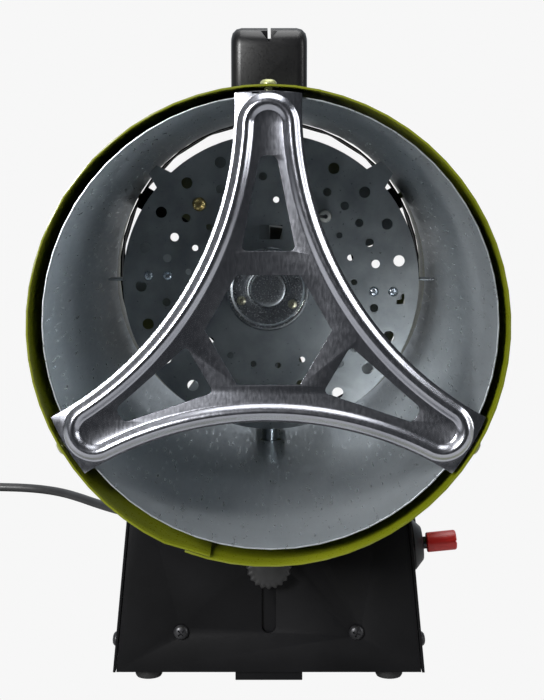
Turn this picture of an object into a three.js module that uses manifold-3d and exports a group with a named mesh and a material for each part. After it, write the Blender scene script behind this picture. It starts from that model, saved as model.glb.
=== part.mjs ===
// Portable forced-air gas heater: a painted steel tube on a sheet-metal base, with a
// galvanised liner, a perforated baffle and burner, a three-arm outlet guard, a fan at
// the back, an adjustable front leg, a carrying handle and a mains cord.
// Millimetres, +Z up. The outlet faces -Y; the origin is on the floor under the middle.
import * as THREE from 'three';
import { mergeVertices } from 'three/addons/utils/BufferGeometryUtils.js';
import Module from 'manifold-3d';

const wasm = await Module();
wasm.setup();

// ---------------------------------------------------------------- driving dimensions
const GAP = 0.3;                 // clearance between pieces that touch
const TUBE_RADIUS = 95;          // outer face of the painted shell
const TUBE_LENGTH = 345;
const SHELL_WALL = 0.8;
const SEAM_START = 249.4;        // the outer end of the rolled sheet, degrees from +X
const SEAM_LAP = 6.1;            // degrees that the two ends of the sheet overlap
const TUBE_CLEARANCE = 70.7;     // floor to the lowest line of the tube

const AIR_GAP = 5;               // between shell and liner
const LINER_WALL = 0.6;
const LINER_START = 3;
const LINER_END = TUBE_LENGTH - 71;
const LINER_OFFSET_X = 0.8;      // the liner hangs slightly off the shell's axis
const LINER_OFFSET_Z = 1.2;

const GUARD_SHEET = 1.0;
const GUARD_FACE = 0.5;          // front face of the plate behind the shell's rim
const GUARD_WAIST = 36.3;        // axis to the nearest point of a hollow edge
const ARM_HALF_WIDTH = 13;
const BEAD_INSET = 4.3;
const BEAD_RADIUS = 3.4;
const BEAD_HEIGHT = 2.6;
const BEAD_END = 79.6;           // axis to the centre of the bead's half-round end
const TAB_DEPTH = 14;
const HEX_RADIUS = 24.9;
const WINDOW_TIP = 67.8;
const WINDOW_TIP_HALF = 3.2;
const WINDOW_BASE = 31;
const WINDOW_BASE_HALF = 10.6;

const BAFFLE_Y = TUBE_LENGTH - 123;
const BAFFLE_SHEET = 0.8;
const BAFFLE_MARGIN = 8.8;       // free ring between the baffle and the liner
const CUP_RADIUS = 22.3;
const CUP_DEPTH = 22;

const FAN_Y = TUBE_LENGTH - 61;
const FAN_LENGTH = 15;
const FAN_MARGIN = 12;           // blade tip to the shell
const SHAFT_RADIUS = 3;
const MOTOR_RADIUS = 29;
const REAR_GUARD_Y = TUBE_LENGTH - 7;
const REAR_GUARD_SHEET = 1.2;
const REAR_ARM_WIDTH = 14;

const HANDLE_START = 140;
const HANDLE_LENGTH = 130;
const HANDLE_WIDTH = 36.6;
const HANDLE_RISE = 35.5;        // top of the handle above the tube
const GRIP_THICKNESS = 12;

const BASE_SHEET = 1.2;
const BASE_START = 60;
const BASE_LENGTH = 211;
const BASE_FOOT_HALF = 69.65;    // half width at the bottom edge
const BASE_SLOPE = 0.1013;       // the sides lean in by this much for each mm of height
const FOOT_HEIGHT = 5.2;
const FOOT_RADIUS = 6.2;
const FOOT_SPREAD = 54.5;

const LEG_TRAVEL = 28;
const LEG_WIDTH = 30;
const LEG_THICKNESS = 2;
const STUD_RADIUS = 2.8;
const KNOB_RADIUS = 10;
const KNOB_DROP = 15;            // tube's lowest line to the knob's axis at rest

const CORD_RADIUS = 3;
const COIL_RADIUS = 36;          // middle of the coil's turns
const COIL_CENTRE = [-262, 400];

// ---------------------------------------------------------------- derived places
const AXIS_HEIGHT = TUBE_RADIUS + TUBE_CLEARANCE;
const FLOOR = -AXIS_HEIGHT;
const SHELL_INNER = TUBE_RADIUS - SHELL_WALL;
const LINER_RADIUS = TUBE_RADIUS - AIR_GAP;
const LINER_INNER = LINER_RADIUS - LINER_WALL;
const BAFFLE_RADIUS = LINER_INNER - BAFFLE_MARGIN;
const CONTACT_RADIUS = TUBE_RADIUS + GAP;
const BASE_BOTTOM = FLOOR + FOOT_HEIGHT + GAP;
const BASE_END = BASE_START + BASE_LENGTH;
const KNOB_Z = -TUBE_RADIUS - KNOB_DROP;
const CONTROL_Z = -TUBE_RADIUS - 13.2;
const ARM_ANGLES = [90, 210, 330];
const REAR_ARM_ANGLES = [30, 150, 270];

const rad = THREE.MathUtils.degToRad;

// ---------------------------------------------------------------- solids and helpers
function toSolid(geometry) {
  const bare = geometry.clone();
  bare.deleteAttribute('normal');
  bare.deleteAttribute('uv');
  const merged = mergeVertices(bare, 1e-4);
  return new wasm.Manifold(new wasm.Mesh({
    numProp: 3,
    vertProperties: new Float32Array(merged.attributes.position.array),
    triVerts: new Uint32Array(merged.index.array),
  }));
}

function toGeometry(solid) {
  const mesh = solid.getMesh();
  const geometry = new THREE.BufferGeometry();
  geometry.setAttribute('position', new THREE.BufferAttribute(mesh.vertProperties, 3));
  geometry.setIndex(new THREE.BufferAttribute(mesh.triVerts, 1));
  geometry.computeVertexNormals();
  return geometry;
}

function join(geometries) {
  let solid = toSolid(geometries[0]);
  for (const geometry of geometries.slice(1)) {
    solid = solid.add(toSolid(geometry));
  }
  return toGeometry(solid);
}

function cut(geometry, tools) {
  let solid = toSolid(geometry);
  for (const tool of tools) {
    solid = solid.subtract(toSolid(tool));
  }
  return toGeometry(solid);
}

function polar(radius, degrees) {
  return new THREE.Vector2(radius * Math.cos(rad(degrees)), radius * Math.sin(rad(degrees)));
}

function circlePath(x, y, radius, sides) {
  const points = [];
  for (let i = 0; i < sides; i += 1) {
    points.push(new THREE.Vector2(x, y).add(polar(radius, (i + 0.5) * 360 / sides)));
  }
  return new THREE.Path(points);
}

// An outline in X and Z, given its thickness along +Y from the place y.
function plate(shape, y, thickness, curveSegments = 24) {
  const geometry = new THREE.ExtrudeGeometry(shape, {
    depth: thickness, bevelEnabled: false, curveSegments,
  });
  geometry.rotateX(Math.PI / 2);
  geometry.translate(0, y + thickness, 0);
  return geometry;
}

// A turned piece about the Y axis; the profile's points are [radius, y], from front to back.
function turned(profile, sides = 24) {
  const points = profile.map(([radius, y]) => new THREE.Vector2(radius, y));
  return new THREE.LatheGeometry(points, sides);
}

// A block given by its lowest and highest corners.
function block(low, high) {
  const size = high.map((value, i) => value - low[i]);
  const geometry = new THREE.BoxGeometry(...size);
  geometry.translate(...low.map((value, i) => value + size[i] / 2));
  return geometry;
}

// A straight round bar along Y, used to make a hole or a pin.
function bar(x, z, yStart, yEnd, radius, sides = 16) {
  const geometry = new THREE.CylinderGeometry(radius, radius, yEnd - yStart, sides);
  geometry.translate(x, (yStart + yEnd) / 2, z);
  return geometry;
}

// A round bar along the outward direction of the tube at an angle, from one radius to another.
function radialBar(angle, y, from, to, radius, sides = 12) {
  const geometry = new THREE.CylinderGeometry(radius, radius, to - from, sides);
  geometry.translate(0, (from + to) / 2, 0);
  geometry.rotateX(Math.PI / 2);
  geometry.rotateY(rad(90 - angle));
  geometry.translate(0, y, 0);
  return geometry;
}

const heater = new THREE.Group();
heater.position.set(0, -(TUBE_LENGTH - (BEAD_HEIGHT - GUARD_FACE)) / 2, AXIS_HEIGHT);

function addPart(parent, name, geometry, colour, roughness, metalness) {
  const material = new THREE.MeshStandardMaterial({ color: colour, roughness, metalness });
  const mesh = new THREE.Mesh(geometry, material);
  mesh.name = name;
  parent.add(mesh);
  return mesh;
}

// A pan-head screw: the head stands towards -Y from the seat at y = 0, the shank goes to +Y.
function screwGeometry(headRadius, headHeight, shankRadius, shankLength) {
  return turned([
    [0, -headHeight],
    [headRadius * 0.55, -headHeight],
    [headRadius * 0.92, -headHeight * 0.6],
    [headRadius, 0],
    [shankRadius, 0],
    [shankRadius, shankLength],
    [0, shankLength],
  ], 8);
}

function addScrew(parent, name, geometry, place, turn, colour = 0xb9bcc0) {
  const screw = addPart(parent, name, geometry, colour, 0.35, 0.9);
  screw.position.set(...place);
  screw.rotation.set(...turn);
  return screw;
}

// ---------------------------------------------------------------- shell and liner
const FIX_SHANK = 1.9;
const FIX_HOLE = FIX_SHANK + GAP;
const GUARD_FIX_Y = 8;
const REAR_FIX_Y = TUBE_LENGTH - 12;
const PIPE_RADIUS = 4.6;
const PIPE_HOLE = PIPE_RADIUS + 1.6;
const PIPE_Y = BAFFLE_Y + 16;

// The rolled sheet: one strip that runs once round the tube and laps over its own start,
// the last few degrees stepping in by one sheet and a gap.
function shellShape() {
  const steps = 64;
  const first = SEAM_START - 360;
  const last = SEAM_START + SEAM_LAP;
  const stepIn = SHELL_WALL + GAP;
  const stepStart = SEAM_START - 5;
  const angles = [];
  for (let i = 0; i <= steps; i += 1) {
    angles.push(first + (last - first) * i / steps);
  }
  const radiusAt = (angle) => {
    const share = THREE.MathUtils.clamp((angle - stepStart) / (SEAM_START - 1 - stepStart), 0, 1);
    return TUBE_RADIUS - stepIn * share;
  };
  const outside = angles.map((angle) => polar(radiusAt(angle), angle));
  const inside = angles.map((angle) => polar(radiusAt(angle) - SHELL_WALL, angle)).reverse();
  return new THREE.Shape([...outside, ...inside]);
}

function shellGeometry() {
  const holes = [];
  for (const angle of ARM_ANGLES) {
    holes.push(radialBar(angle, GUARD_FIX_Y, SHELL_INNER - 4, TUBE_RADIUS + 2, FIX_HOLE));
  }
  for (const angle of REAR_ARM_ANGLES) {
    holes.push(radialBar(angle, REAR_FIX_Y, SHELL_INNER - 4, TUBE_RADIUS + 2, FIX_HOLE));
  }
  holes.push(radialBar(270, PIPE_Y, SHELL_INNER - 4, TUBE_RADIUS + 2, PIPE_HOLE, 16));
  return cut(plate(shellShape(), 0, TUBE_LENGTH), holes);
}

function linerGeometry() {
  const wall = turned([
    [LINER_INNER, LINER_START],
    [LINER_RADIUS, LINER_START],
    [LINER_RADIUS, LINER_END],
    [LINER_INNER, LINER_END],
    [LINER_INNER, LINER_START],
  ], 56);
  return cut(wall, [radialBar(270, PIPE_Y, LINER_INNER - 4, LINER_RADIUS + 3, PIPE_HOLE, 16)]);
}

addPart(heater, 'outer_shell', shellGeometry(), 0x5d6414, 0.38, 0.2);
const burnerGroup = new THREE.Group();
burnerGroup.position.set(LINER_OFFSET_X, 0, LINER_OFFSET_Z);
heater.add(burnerGroup);
addPart(burnerGroup, 'inner_liner', linerGeometry(), 0x8b9296, 0.3, 0.9);

// ---------------------------------------------------------------- outlet guard
const ARM_REACH = SHELL_INNER - SHELL_WALL - 2 * GAP - GAP;
const TAB_SHEET = 0.9;

// Each hollow edge is an arc about a point far outside, between two arms.
const armCorner = Math.asin(ARM_HALF_WIDTH / ARM_REACH);
const cornerAlong = ARM_REACH * Math.cos(rad(60) - armCorner);
const HOLLOW_CENTRE = (ARM_REACH ** 2 - GUARD_WAIST ** 2) / (2 * (cornerAlong - GUARD_WAIST));
const HOLLOW_RADIUS = HOLLOW_CENTRE - GUARD_WAIST;

const hollowSweep = Math.asin(ARM_REACH * Math.sin(rad(60) - armCorner) / HOLLOW_RADIUS);

function guardShape() {
  const points = [];
  const endSteps = 4;
  const sideSteps = 16;
  for (const arm of ARM_ANGLES) {
    for (let i = 0; i <= endSteps; i += 1) {
      const turn = rad(arm) - armCorner + 2 * armCorner * i / endSteps;
      points.push(new THREE.Vector2(ARM_REACH * Math.cos(turn), ARM_REACH * Math.sin(turn)));
    }
    const centre = polar(HOLLOW_CENTRE, arm + 60);
    for (let i = 1; i < sideSteps; i += 1) {
      const turn = rad(arm + 240) + hollowSweep * (1 - 2 * i / sideSteps);
      points.push(new THREE.Vector2(
        centre.x + HOLLOW_RADIUS * Math.cos(turn),
        centre.y + HOLLOW_RADIUS * Math.sin(turn),
      ));
    }
  }
  const shape = new THREE.Shape(points);
  shape.holes.push(new THREE.Path([0, 60, 120, 180, 240, 300].map((turn) => polar(HEX_RADIUS, turn))));
  for (const arm of ARM_ANGLES) {
    shape.holes.push(windowPath(arm));
  }
  return shape;
}

// A rounded triangle along an arm, its narrow end outwards.
function windowPath(arm) {
  const corners = [
    [-WINDOW_BASE_HALF, WINDOW_BASE],
    [WINDOW_BASE_HALF, WINDOW_BASE],
    [WINDOW_TIP_HALF, WINDOW_TIP],
    [-WINDOW_TIP_HALF, WINDOW_TIP],
  ].map(([x, y]) => new THREE.Vector2(x, y).rotateAround(new THREE.Vector2(), rad(arm - 90)));
  const rounding = [2.4, 2.4, 2.6, 2.6];
  const path = new THREE.Path();
  corners.forEach((corner, i) => {
    const before = corners[(i + 3) % 4].clone().sub(corner).setLength(rounding[i]).add(corner);
    const after = corners[(i + 1) % 4].clone().sub(corner).setLength(rounding[i]).add(corner);
    if (i === 0) path.moveTo(before.x, before.y);
    else path.lineTo(before.x, before.y);
    path.quadraticCurveTo(corner.x, corner.y, after.x, after.y);
  });
  path.closePath();
  return path;
}

// The bead's centre line on one arm: in along one hollow edge, round the end, and back.
class BeadLine extends THREE.Curve {
  constructor(arm) {
    super();
    this.arm = arm;
    this.sideRadius = HOLLOW_RADIUS + BEAD_INSET;
    const toEnd = Math.hypot(HOLLOW_CENTRE * Math.cos(rad(30)),
      BEAD_END - HOLLOW_CENTRE * Math.sin(rad(30)));
    this.endRadius = toEnd - this.sideRadius;
    this.sideAngle = Math.atan2(BEAD_END - HOLLOW_CENTRE * Math.sin(rad(30)),
      HOLLOW_CENTRE * Math.cos(rad(30)));
    this.sideTurn = rad(30) + this.sideAngle + rad(0.4);
    this.sideLength = this.sideRadius * this.sideTurn;
    this.endTurn = Math.PI + 2 * this.sideAngle;
    this.endLength = this.endRadius * this.endTurn;
  }

  getPoint(t, target = new THREE.Vector3()) {
    const total = 2 * this.sideLength + this.endLength;
    const mirrored = t > 0.5;
    const along = (mirrored ? 1 - t : t) * total;
    let x;
    let y;
    if (along < this.sideLength) {
      const turn = this.sideAngle - (this.sideLength - along) / this.sideRadius;
      x = HOLLOW_CENTRE * Math.cos(rad(30)) - this.sideRadius * Math.cos(turn);
      y = HOLLOW_CENTRE * Math.sin(rad(30)) + this.sideRadius * Math.sin(turn);
    } else {
      const turn = this.sideAngle * -1 + (along - this.sideLength) / this.endRadius;
      x = this.endRadius * Math.cos(turn);
      y = BEAD_END + this.endRadius * Math.sin(turn);
    }
    const point = new THREE.Vector2(mirrored ? -x : x, y);
    point.rotateAround(new THREE.Vector2(), rad(this.arm - 90));
    return target.set(point.x, 0, point.y);
  }
}

function beadGeometry(arm) {
  const section = new THREE.Shape(circlePath(0, 0, BEAD_RADIUS, 8).getPoints());
  const geometry = new THREE.ExtrudeGeometry(section, {
    steps: 26, bevelEnabled: false, extrudePath: new BeadLine(arm),
  });
  geometry.translate(0, GUARD_FACE - BEAD_HEIGHT + BEAD_RADIUS, 0);
  return geometry;
}

// The tab folded back from an arm's end along the inside of the shell.
function tabGeometry(arm) {
  const half = ARM_HALF_WIDTH - 1;
  const shape = new THREE.Shape();
  const spread = Math.asin(half / ARM_REACH);
  shape.absarc(0, 0, ARM_REACH, rad(arm) - spread, rad(arm) + spread, false);
  shape.absarc(0, 0, ARM_REACH - TAB_SHEET, rad(arm) + spread, rad(arm) - spread, true);
  return plate(shape, GUARD_FACE, TAB_DEPTH, 4);
}

function guardGeometry() {
  const reach = TUBE_RADIUS * 2;
  const behind = block(
    [-reach, GUARD_FACE + GUARD_SHEET, -reach],
    [reach, GUARD_FACE + GUARD_SHEET + 3 * BEAD_RADIUS, reach],
  );
  const beads = cut(join(ARM_ANGLES.map(beadGeometry)), [behind]);
  const sheet = plate(guardShape(), GUARD_FACE, GUARD_SHEET, 3);
  const guard = join([sheet, beads, ...ARM_ANGLES.map(tabGeometry)]);
  const holes = ARM_ANGLES.map((arm) => (
    radialBar(arm, GUARD_FIX_Y, ARM_REACH - 3, ARM_REACH + 2, FIX_HOLE, 10)));
  return cut(guard, holes);
}

addPart(heater, 'outlet_guard', guardGeometry(), 0x9a9da3, 0.22, 0.95);

const fixScrew = screwGeometry(3.3, 2.0, FIX_SHANK, 2.6);
function addRadialScrew(name, angle, y) {
  const radius = TUBE_RADIUS + GAP;
  const place = [radius * Math.cos(rad(angle)), y, radius * Math.sin(rad(angle))];
  const screw = addScrew(heater, name, fixScrew, place, [0, 0, 0]);
  const outward = new THREE.Vector3(...place).setY(0).normalize();
  screw.quaternion.setFromUnitVectors(new THREE.Vector3(0, -1, 0), outward);
}
ARM_ANGLES.forEach((angle, i) => addRadialScrew(`guard_screw_${i + 1}`, angle, GUARD_FIX_Y));

// ---------------------------------------------------------------- baffle and its straps
const RING_BIG = { count: 21, radius: 3.06, inset: 9.8, first: 9.9, sides: 7 };
const RING_MEDIUM = { count: 30, radius: 2.3, inset: 22.6, first: 10.4, sides: 5 };
const RING_SMALL = { count: 21, radius: 1.65, inset: 35.2, first: 0.7, sides: 4 };
const TAB_ANGLES = [44.5, 136];
const BAFFLE_TAB_HALF = 6;
const STRAP_TOP = 2.3;
const STRAP_SCREW_X = [56.2, 66.6];
const STRAP_SCREW_Z = [4.1, -4.6];
const SMALL_SHANK = 1.4;
const SMALL_HOLE = SMALL_SHANK + GAP;
const PORT_RADIUS = 5;
const SLOT_ANGLE = -7;
const SIGHT_HALF_WIDTH = 6.3;
const SIGHT_HEIGHTS = [23.9, 31.6];

const ELECTRODE_AT = [29.2, 36.6];
const THERMOCOUPLE_AT = [-38.8, 42.8];
const ELECTRODE_RADIUS = 3.4;
const THERMOCOUPLE_RADIUS = 3.6;
const HOLE_SPACING = 6.5;

// Places on the baffle that another piece takes, where a ring leaves its hole out.
function takenPlaces() {
  const slot = polar(BAFFLE_RADIUS - RING_BIG.inset, SLOT_ANGLE);
  const screws = STRAP_SCREW_X.flatMap((x) => [[x, STRAP_SCREW_Z[1]], [-x, STRAP_SCREW_Z[0]]]);
  return [ELECTRODE_AT, THERMOCOUPLE_AT, [slot.x, slot.y], ...screws];
}

function ringHoles(ring) {
  const holes = [];
  const sides = ring.sides;
  for (let i = 0; i < ring.count; i += 1) {
    const place = polar(BAFFLE_RADIUS - ring.inset, ring.first + 360 * i / ring.count);
    const free = takenPlaces().every(([x, z]) => (
      Math.hypot(place.x - x, place.y - z) > HOLE_SPACING));
    if (free) holes.push(circlePath(place.x, place.y, ring.radius, sides));
  }
  return holes;
}

function rectanglePath(x0, z0, x1, z1) {
  return new THREE.Path([
    new THREE.Vector2(x0, z0), new THREE.Vector2(x1, z0),
    new THREE.Vector2(x1, z1), new THREE.Vector2(x0, z1),
  ]);
}

function baffleGeometry() {
  const disc = new THREE.Shape(circlePath(0, 0, BAFFLE_RADIUS, 48).getPoints());
  disc.holes.push(
    ...ringHoles(RING_BIG), ...ringHoles(RING_MEDIUM), ...ringHoles(RING_SMALL),
    circlePath(0, 0, PORT_RADIUS + GAP, 12),
    rectanglePath(-SIGHT_HALF_WIDTH, SIGHT_HEIGHTS[0], SIGHT_HALF_WIDTH, SIGHT_HEIGHTS[1]),
    circlePath(...ELECTRODE_AT, ELECTRODE_RADIUS + GAP, 10),
    circlePath(...THERMOCOUPLE_AT, THERMOCOUPLE_RADIUS + GAP, 10),
  );
  const slot = polar(BAFFLE_RADIUS - RING_BIG.inset, SLOT_ANGLE);
  disc.holes.push(new THREE.Path([
    [-1.6, -2.8], [2.6, -2.8], [2.6, 2.8], [0.4, 2.8], [0.4, -0.4], [-1.6, -0.4],
  ].map(([x, z]) => new THREE.Vector2(slot.x + x, slot.y + z))));
  STRAP_SCREW_X.forEach((x) => {
    disc.holes.push(circlePath(x, STRAP_SCREW_Z[1], SMALL_HOLE, 8));
    disc.holes.push(circlePath(-x, STRAP_SCREW_Z[0], SMALL_HOLE, 8));
  });
  const pieces = [plate(disc, BAFFLE_Y, BAFFLE_SHEET)];
  for (const angle of TAB_ANGLES) {
    const tab = block([BAFFLE_RADIUS - 3, BAFFLE_Y, -BAFFLE_TAB_HALF],
      [LINER_INNER - 2 * GAP, BAFFLE_Y + BAFFLE_SHEET, BAFFLE_TAB_HALF]);
    tab.rotateY(-rad(angle));
    pieces.push(tab);
  }
  return join(pieces);
}

addPart(burnerGroup, 'baffle_disc', baffleGeometry(), 0x6f7679, 0.45, 0.75);

// A block mirrored to the left when side is -1.
function sideBlock(side, x, y, z) {
  const xs = [side * x[0], side * x[1]].sort((a, b) => a - b);
  return block([xs[0], y[0], z[0]], [xs[1], y[1], z[1]]);
}

// The strap is screwed behind the baffle and reaches out to the liner's wall.
function strapGeometry(side, screwZ) {
  const front = BAFFLE_Y + BAFFLE_SHEET + GAP;
  const inner = STRAP_SCREW_X[0] - 5;
  const low = Math.min(screwZ - 4, STRAP_TOP - 1);
  const high = Math.max(screwZ + 4, STRAP_TOP);
  const flat = sideBlock(side, [inner, STRAP_SCREW_X[1] + 5], [front, front + 1], [low, high]);
  const arm = sideBlock(side, [inner, LINER_INNER - 2 * GAP], [front, front + 14],
    [STRAP_TOP - 1, STRAP_TOP]);
  const holes = STRAP_SCREW_X.map((x) => (
    bar(side * x, screwZ, front - 1, front + 3, SMALL_HOLE, 8)));
  return cut(join([flat, arm]), holes);
}

const strapScrew = screwGeometry(2.7, 1.5, SMALL_SHANK, 2.6);
['left', 'right'].forEach((name, k) => {
  const side = k === 0 ? -1 : 1;
  addPart(burnerGroup, `strap_${name}`, strapGeometry(side, STRAP_SCREW_Z[k]), 0x8a8f92, 0.4, 0.8);
  STRAP_SCREW_X.forEach((x, i) => {
    const place = [side * x, BAFFLE_Y - GAP, STRAP_SCREW_Z[k]];
    addScrew(burnerGroup, `strap_screw_${name}_${i + 1}`, strapScrew, place, [0, 0, 0]);
  });
});

// ---------------------------------------------------------------- burner
const CUP_SHEET = 1;
const CUP_FACE = 18.9;
const CUP_BOSS = 9.6;
const CUP_FRONT = BAFFLE_Y - GAP - CUP_DEPTH;
const CUP_SCREW_RING = 15.2;
const CUP_SCREW_ANGLES = [90, 203, 329];
const CUP_OFFSET = [-1.6, -1.6];
const JET_RADIUS = 8;
const JET_LENGTH = 24;

// The pressed cup: a boss in the middle, a groove, a flat face and a rolled rim, on a skirt.
function cupGeometry() {
  const front = CUP_FRONT;
  const cup = turned([
    [0, front + 0.6],
    [CUP_BOSS - 0.8, front + 0.6],
    [CUP_BOSS, front + 1.6],
    [CUP_BOSS + 1.6, front + 1.6],
    [CUP_BOSS + 2.2, front + 0.8],
    [CUP_FACE, front + 0.8],
    [CUP_FACE + 1, front],
    [CUP_RADIUS - 0.8, front],
    [CUP_RADIUS, front + 1],
    [CUP_RADIUS, front + 3],
    [CUP_RADIUS - 2, front + 4.5],
    [CUP_RADIUS - 2, front + CUP_DEPTH],
    [CUP_RADIUS - 2 - CUP_SHEET, front + CUP_DEPTH],
    [CUP_RADIUS - 2 - CUP_SHEET, front + 4],
    [0, front + 4],
  ], 24);
  const holes = CUP_SCREW_ANGLES.map((angle) => {
    const place = polar(CUP_SCREW_RING, angle);
    return bar(place.x, place.y, front - 1, front + 6, SMALL_HOLE, 8);
  });
  const shaped = cut(cup, holes);
  shaped.translate(CUP_OFFSET[0], 0, CUP_OFFSET[1]);
  return shaped;
}

addPart(burnerGroup, 'burner_cup', cupGeometry(), 0x90969a, 0.3, 0.9);
const cupScrew = screwGeometry(2.5, 1.4, SMALL_SHANK, 3);
CUP_SCREW_ANGLES.forEach((angle, i) => {
  const place = polar(CUP_SCREW_RING, angle).add(new THREE.Vector2(...CUP_OFFSET));
  addScrew(burnerGroup, `cup_screw_${i + 1}`, cupScrew,
    [place.x, CUP_FRONT + 0.8 - GAP, place.y], [0, 0, 0], 0xa8a58c);
});

const JET_START = BAFFLE_Y + BAFFLE_SHEET + GAP;
function jetGeometry() {
  return turned([
    [0, BAFFLE_Y - 8],
    [PORT_RADIUS - 1.5, BAFFLE_Y - 8],
    [PORT_RADIUS, BAFFLE_Y - 5],
    [PORT_RADIUS, JET_START],
    [JET_RADIUS, JET_START],
    [JET_RADIUS, JET_START + JET_LENGTH],
    [0, JET_START + JET_LENGTH],
  ], 16);
}
addPart(burnerGroup, 'jet_block', jetGeometry(), 0xa98c4a, 0.35, 0.9);

// The pipe drops from the jet block through the shell and runs forward to the gas valve.
const PIPE_ROUTE = [
  [LINER_OFFSET_X, PIPE_Y, LINER_OFFSET_Z - JET_RADIUS - GAP],
  [LINER_OFFSET_X, PIPE_Y, -40],
  [0, PIPE_Y, -CONTACT_RADIUS],
  [0, PIPE_Y - 1, -CONTACT_RADIUS - 14],
  [3, PIPE_Y - 10, -CONTACT_RADIUS - 25],
  [9, PIPE_Y - 28, -CONTACT_RADIUS - 29],
  [20, PIPE_Y - 70, -CONTACT_RADIUS - 29],
  [28, BASE_START + 52, -CONTACT_RADIUS - 26],
];
function pipeGeometry() {
  const route = new THREE.CatmullRomCurve3(PIPE_ROUTE.map((point) => new THREE.Vector3(...point)));
  const section = new THREE.Shape(circlePath(0, 0, PIPE_RADIUS, 8).getPoints());
  return new THREE.ExtrudeGeometry(section, { steps: 20, bevelEnabled: false, extrudePath: route });
}
addPart(heater, 'gas_pipe', pipeGeometry(), 0xa9adb0, 0.25, 0.9);

const ELECTRODE_FRONT = BAFFLE_Y - 12;
const ELECTRODE_BACK = BAFFLE_Y + 20;

function electrodeGeometry() {
  return turned([
    [0, ELECTRODE_FRONT],
    [ELECTRODE_RADIUS - 1, ELECTRODE_FRONT],
    [ELECTRODE_RADIUS, ELECTRODE_FRONT + 2],
    [ELECTRODE_RADIUS, ELECTRODE_BACK],
    [0, ELECTRODE_BACK],
  ], 12);
}
const electrode = addPart(burnerGroup, 'spark_electrode', electrodeGeometry(), 0xe8e4da, 0.35, 0);
electrode.position.set(ELECTRODE_AT[0], 0, ELECTRODE_AT[1]);

// The spark rod leans from the ceramic towards the burner cup.
const ROD_RADIUS = 0.8;
const ROD_LENGTH = 13;
const ROD_ANGLE = 215;
const ROD_STUB_RADIUS = 1.2;

function rodGeometry() {
  const end = ELECTRODE_FRONT - GAP;
  const rod = new THREE.CylinderGeometry(ROD_RADIUS, ROD_RADIUS, ROD_LENGTH, 6);
  rod.translate(0, ROD_LENGTH / 2, 0);
  rod.rotateZ(rad(ROD_ANGLE - 90));
  rod.translate(0, end - ROD_RADIUS, 0);
  const stub = bar(0, 0, end - 2 * ROD_RADIUS, end, ROD_STUB_RADIUS, 8);
  return join([rod, stub]);
}
const rod = addPart(burnerGroup, 'spark_rod', rodGeometry(), 0x6a6a68, 0.4, 0.9);
rod.position.set(ELECTRODE_AT[0], 0, ELECTRODE_AT[1]);

const TIP_RADIUS = 1.5;
const TIP_FRONT = BAFFLE_Y - 9;
const THERMOCOUPLE_BACK = BAFFLE_Y + 12;

function thermocoupleGeometry() {
  return turned([
    [0, TIP_FRONT],
    [TIP_RADIUS, TIP_FRONT],
    [TIP_RADIUS, BAFFLE_Y - 3],
    [THERMOCOUPLE_RADIUS, BAFFLE_Y - 2],
    [THERMOCOUPLE_RADIUS, THERMOCOUPLE_BACK],
    [0, THERMOCOUPLE_BACK],
  ], 12);
}
const thermocouple = addPart(burnerGroup, 'thermocouple', thermocoupleGeometry(), 0x9a7b3c, 0.4, 0.9);
thermocouple.position.set(THERMOCOUPLE_AT[0], 0, THERMOCOUPLE_AT[1]);

// ---------------------------------------------------------------- fan, motor and rear guard
const FAN_RADIUS = SHELL_INNER - FAN_MARGIN;
const HUB_RADIUS = 17;
const MOTOR_BEVEL = 4;
const BLADE_COUNT = 5;
const BLADE_PITCH = 22;
const BLADE_SHEET = 1.2;
const BLADE_ROOT = HUB_RADIUS - 3;
const BLADE_ROOT_HALF = 8;
const BLADE_TIP_HALF = 42;
const BLADE_TIP_STEPS = 8;
const BLADE_REST_ANGLE = 46;
const MOTOR_START = FAN_Y + FAN_LENGTH + 4;
const MOTOR_END = REAR_GUARD_Y - GAP;
const SHAFT_START = FAN_Y + 3;
const SHAFT_END = MOTOR_START + 10;

// A flat blade that widens outwards; its tip keeps to the fan's circle once it is pitched.
function bladeShape() {
  const points = [[BLADE_ROOT, -BLADE_ROOT_HALF]];
  for (let i = 0; i <= BLADE_TIP_STEPS; i += 1) {
    const across = BLADE_TIP_HALF * (2 * i / BLADE_TIP_STEPS - 1);
    const sideways = across * Math.cos(rad(BLADE_PITCH));
    points.push([Math.sqrt(FAN_RADIUS ** 2 - sideways ** 2), across]);
  }
  points.push([BLADE_ROOT, BLADE_ROOT_HALF]);
  return new THREE.Shape(points.map(([x, y]) => new THREE.Vector2(x, y)));
}

function fanGeometry() {
  const end = FAN_Y + FAN_LENGTH;
  const hub = turned([
    [0, FAN_Y],
    [HUB_RADIUS - 3, FAN_Y],
    [HUB_RADIUS, FAN_Y + 3],
    [HUB_RADIUS, end],
    [SHAFT_RADIUS + GAP, end],
    [SHAFT_RADIUS + GAP, SHAFT_START - GAP],
    [0, SHAFT_START - GAP],
  ], 20);
  const blades = [];
  for (let i = 0; i < BLADE_COUNT; i += 1) {
    const blade = new THREE.ExtrudeGeometry(bladeShape(), { depth: BLADE_SHEET, bevelEnabled: false });
    blade.translate(0, 0, -BLADE_SHEET / 2);
    blade.rotateX(rad(90 - BLADE_PITCH));
    blade.rotateY(-rad(BLADE_REST_ANGLE + i * 360 / BLADE_COUNT));
    blade.translate(0, FAN_Y + FAN_LENGTH / 2, 0);
    blades.push(blade);
  }
  return join([hub, ...blades]);
}
addPart(heater, 'fan', fanGeometry(), 0x8d9194, 0.4, 0.8);
addPart(heater, 'motor_shaft', bar(0, 0, SHAFT_START, SHAFT_END, SHAFT_RADIUS, 12), 0xb5b8ba, 0.25, 0.9);

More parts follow.
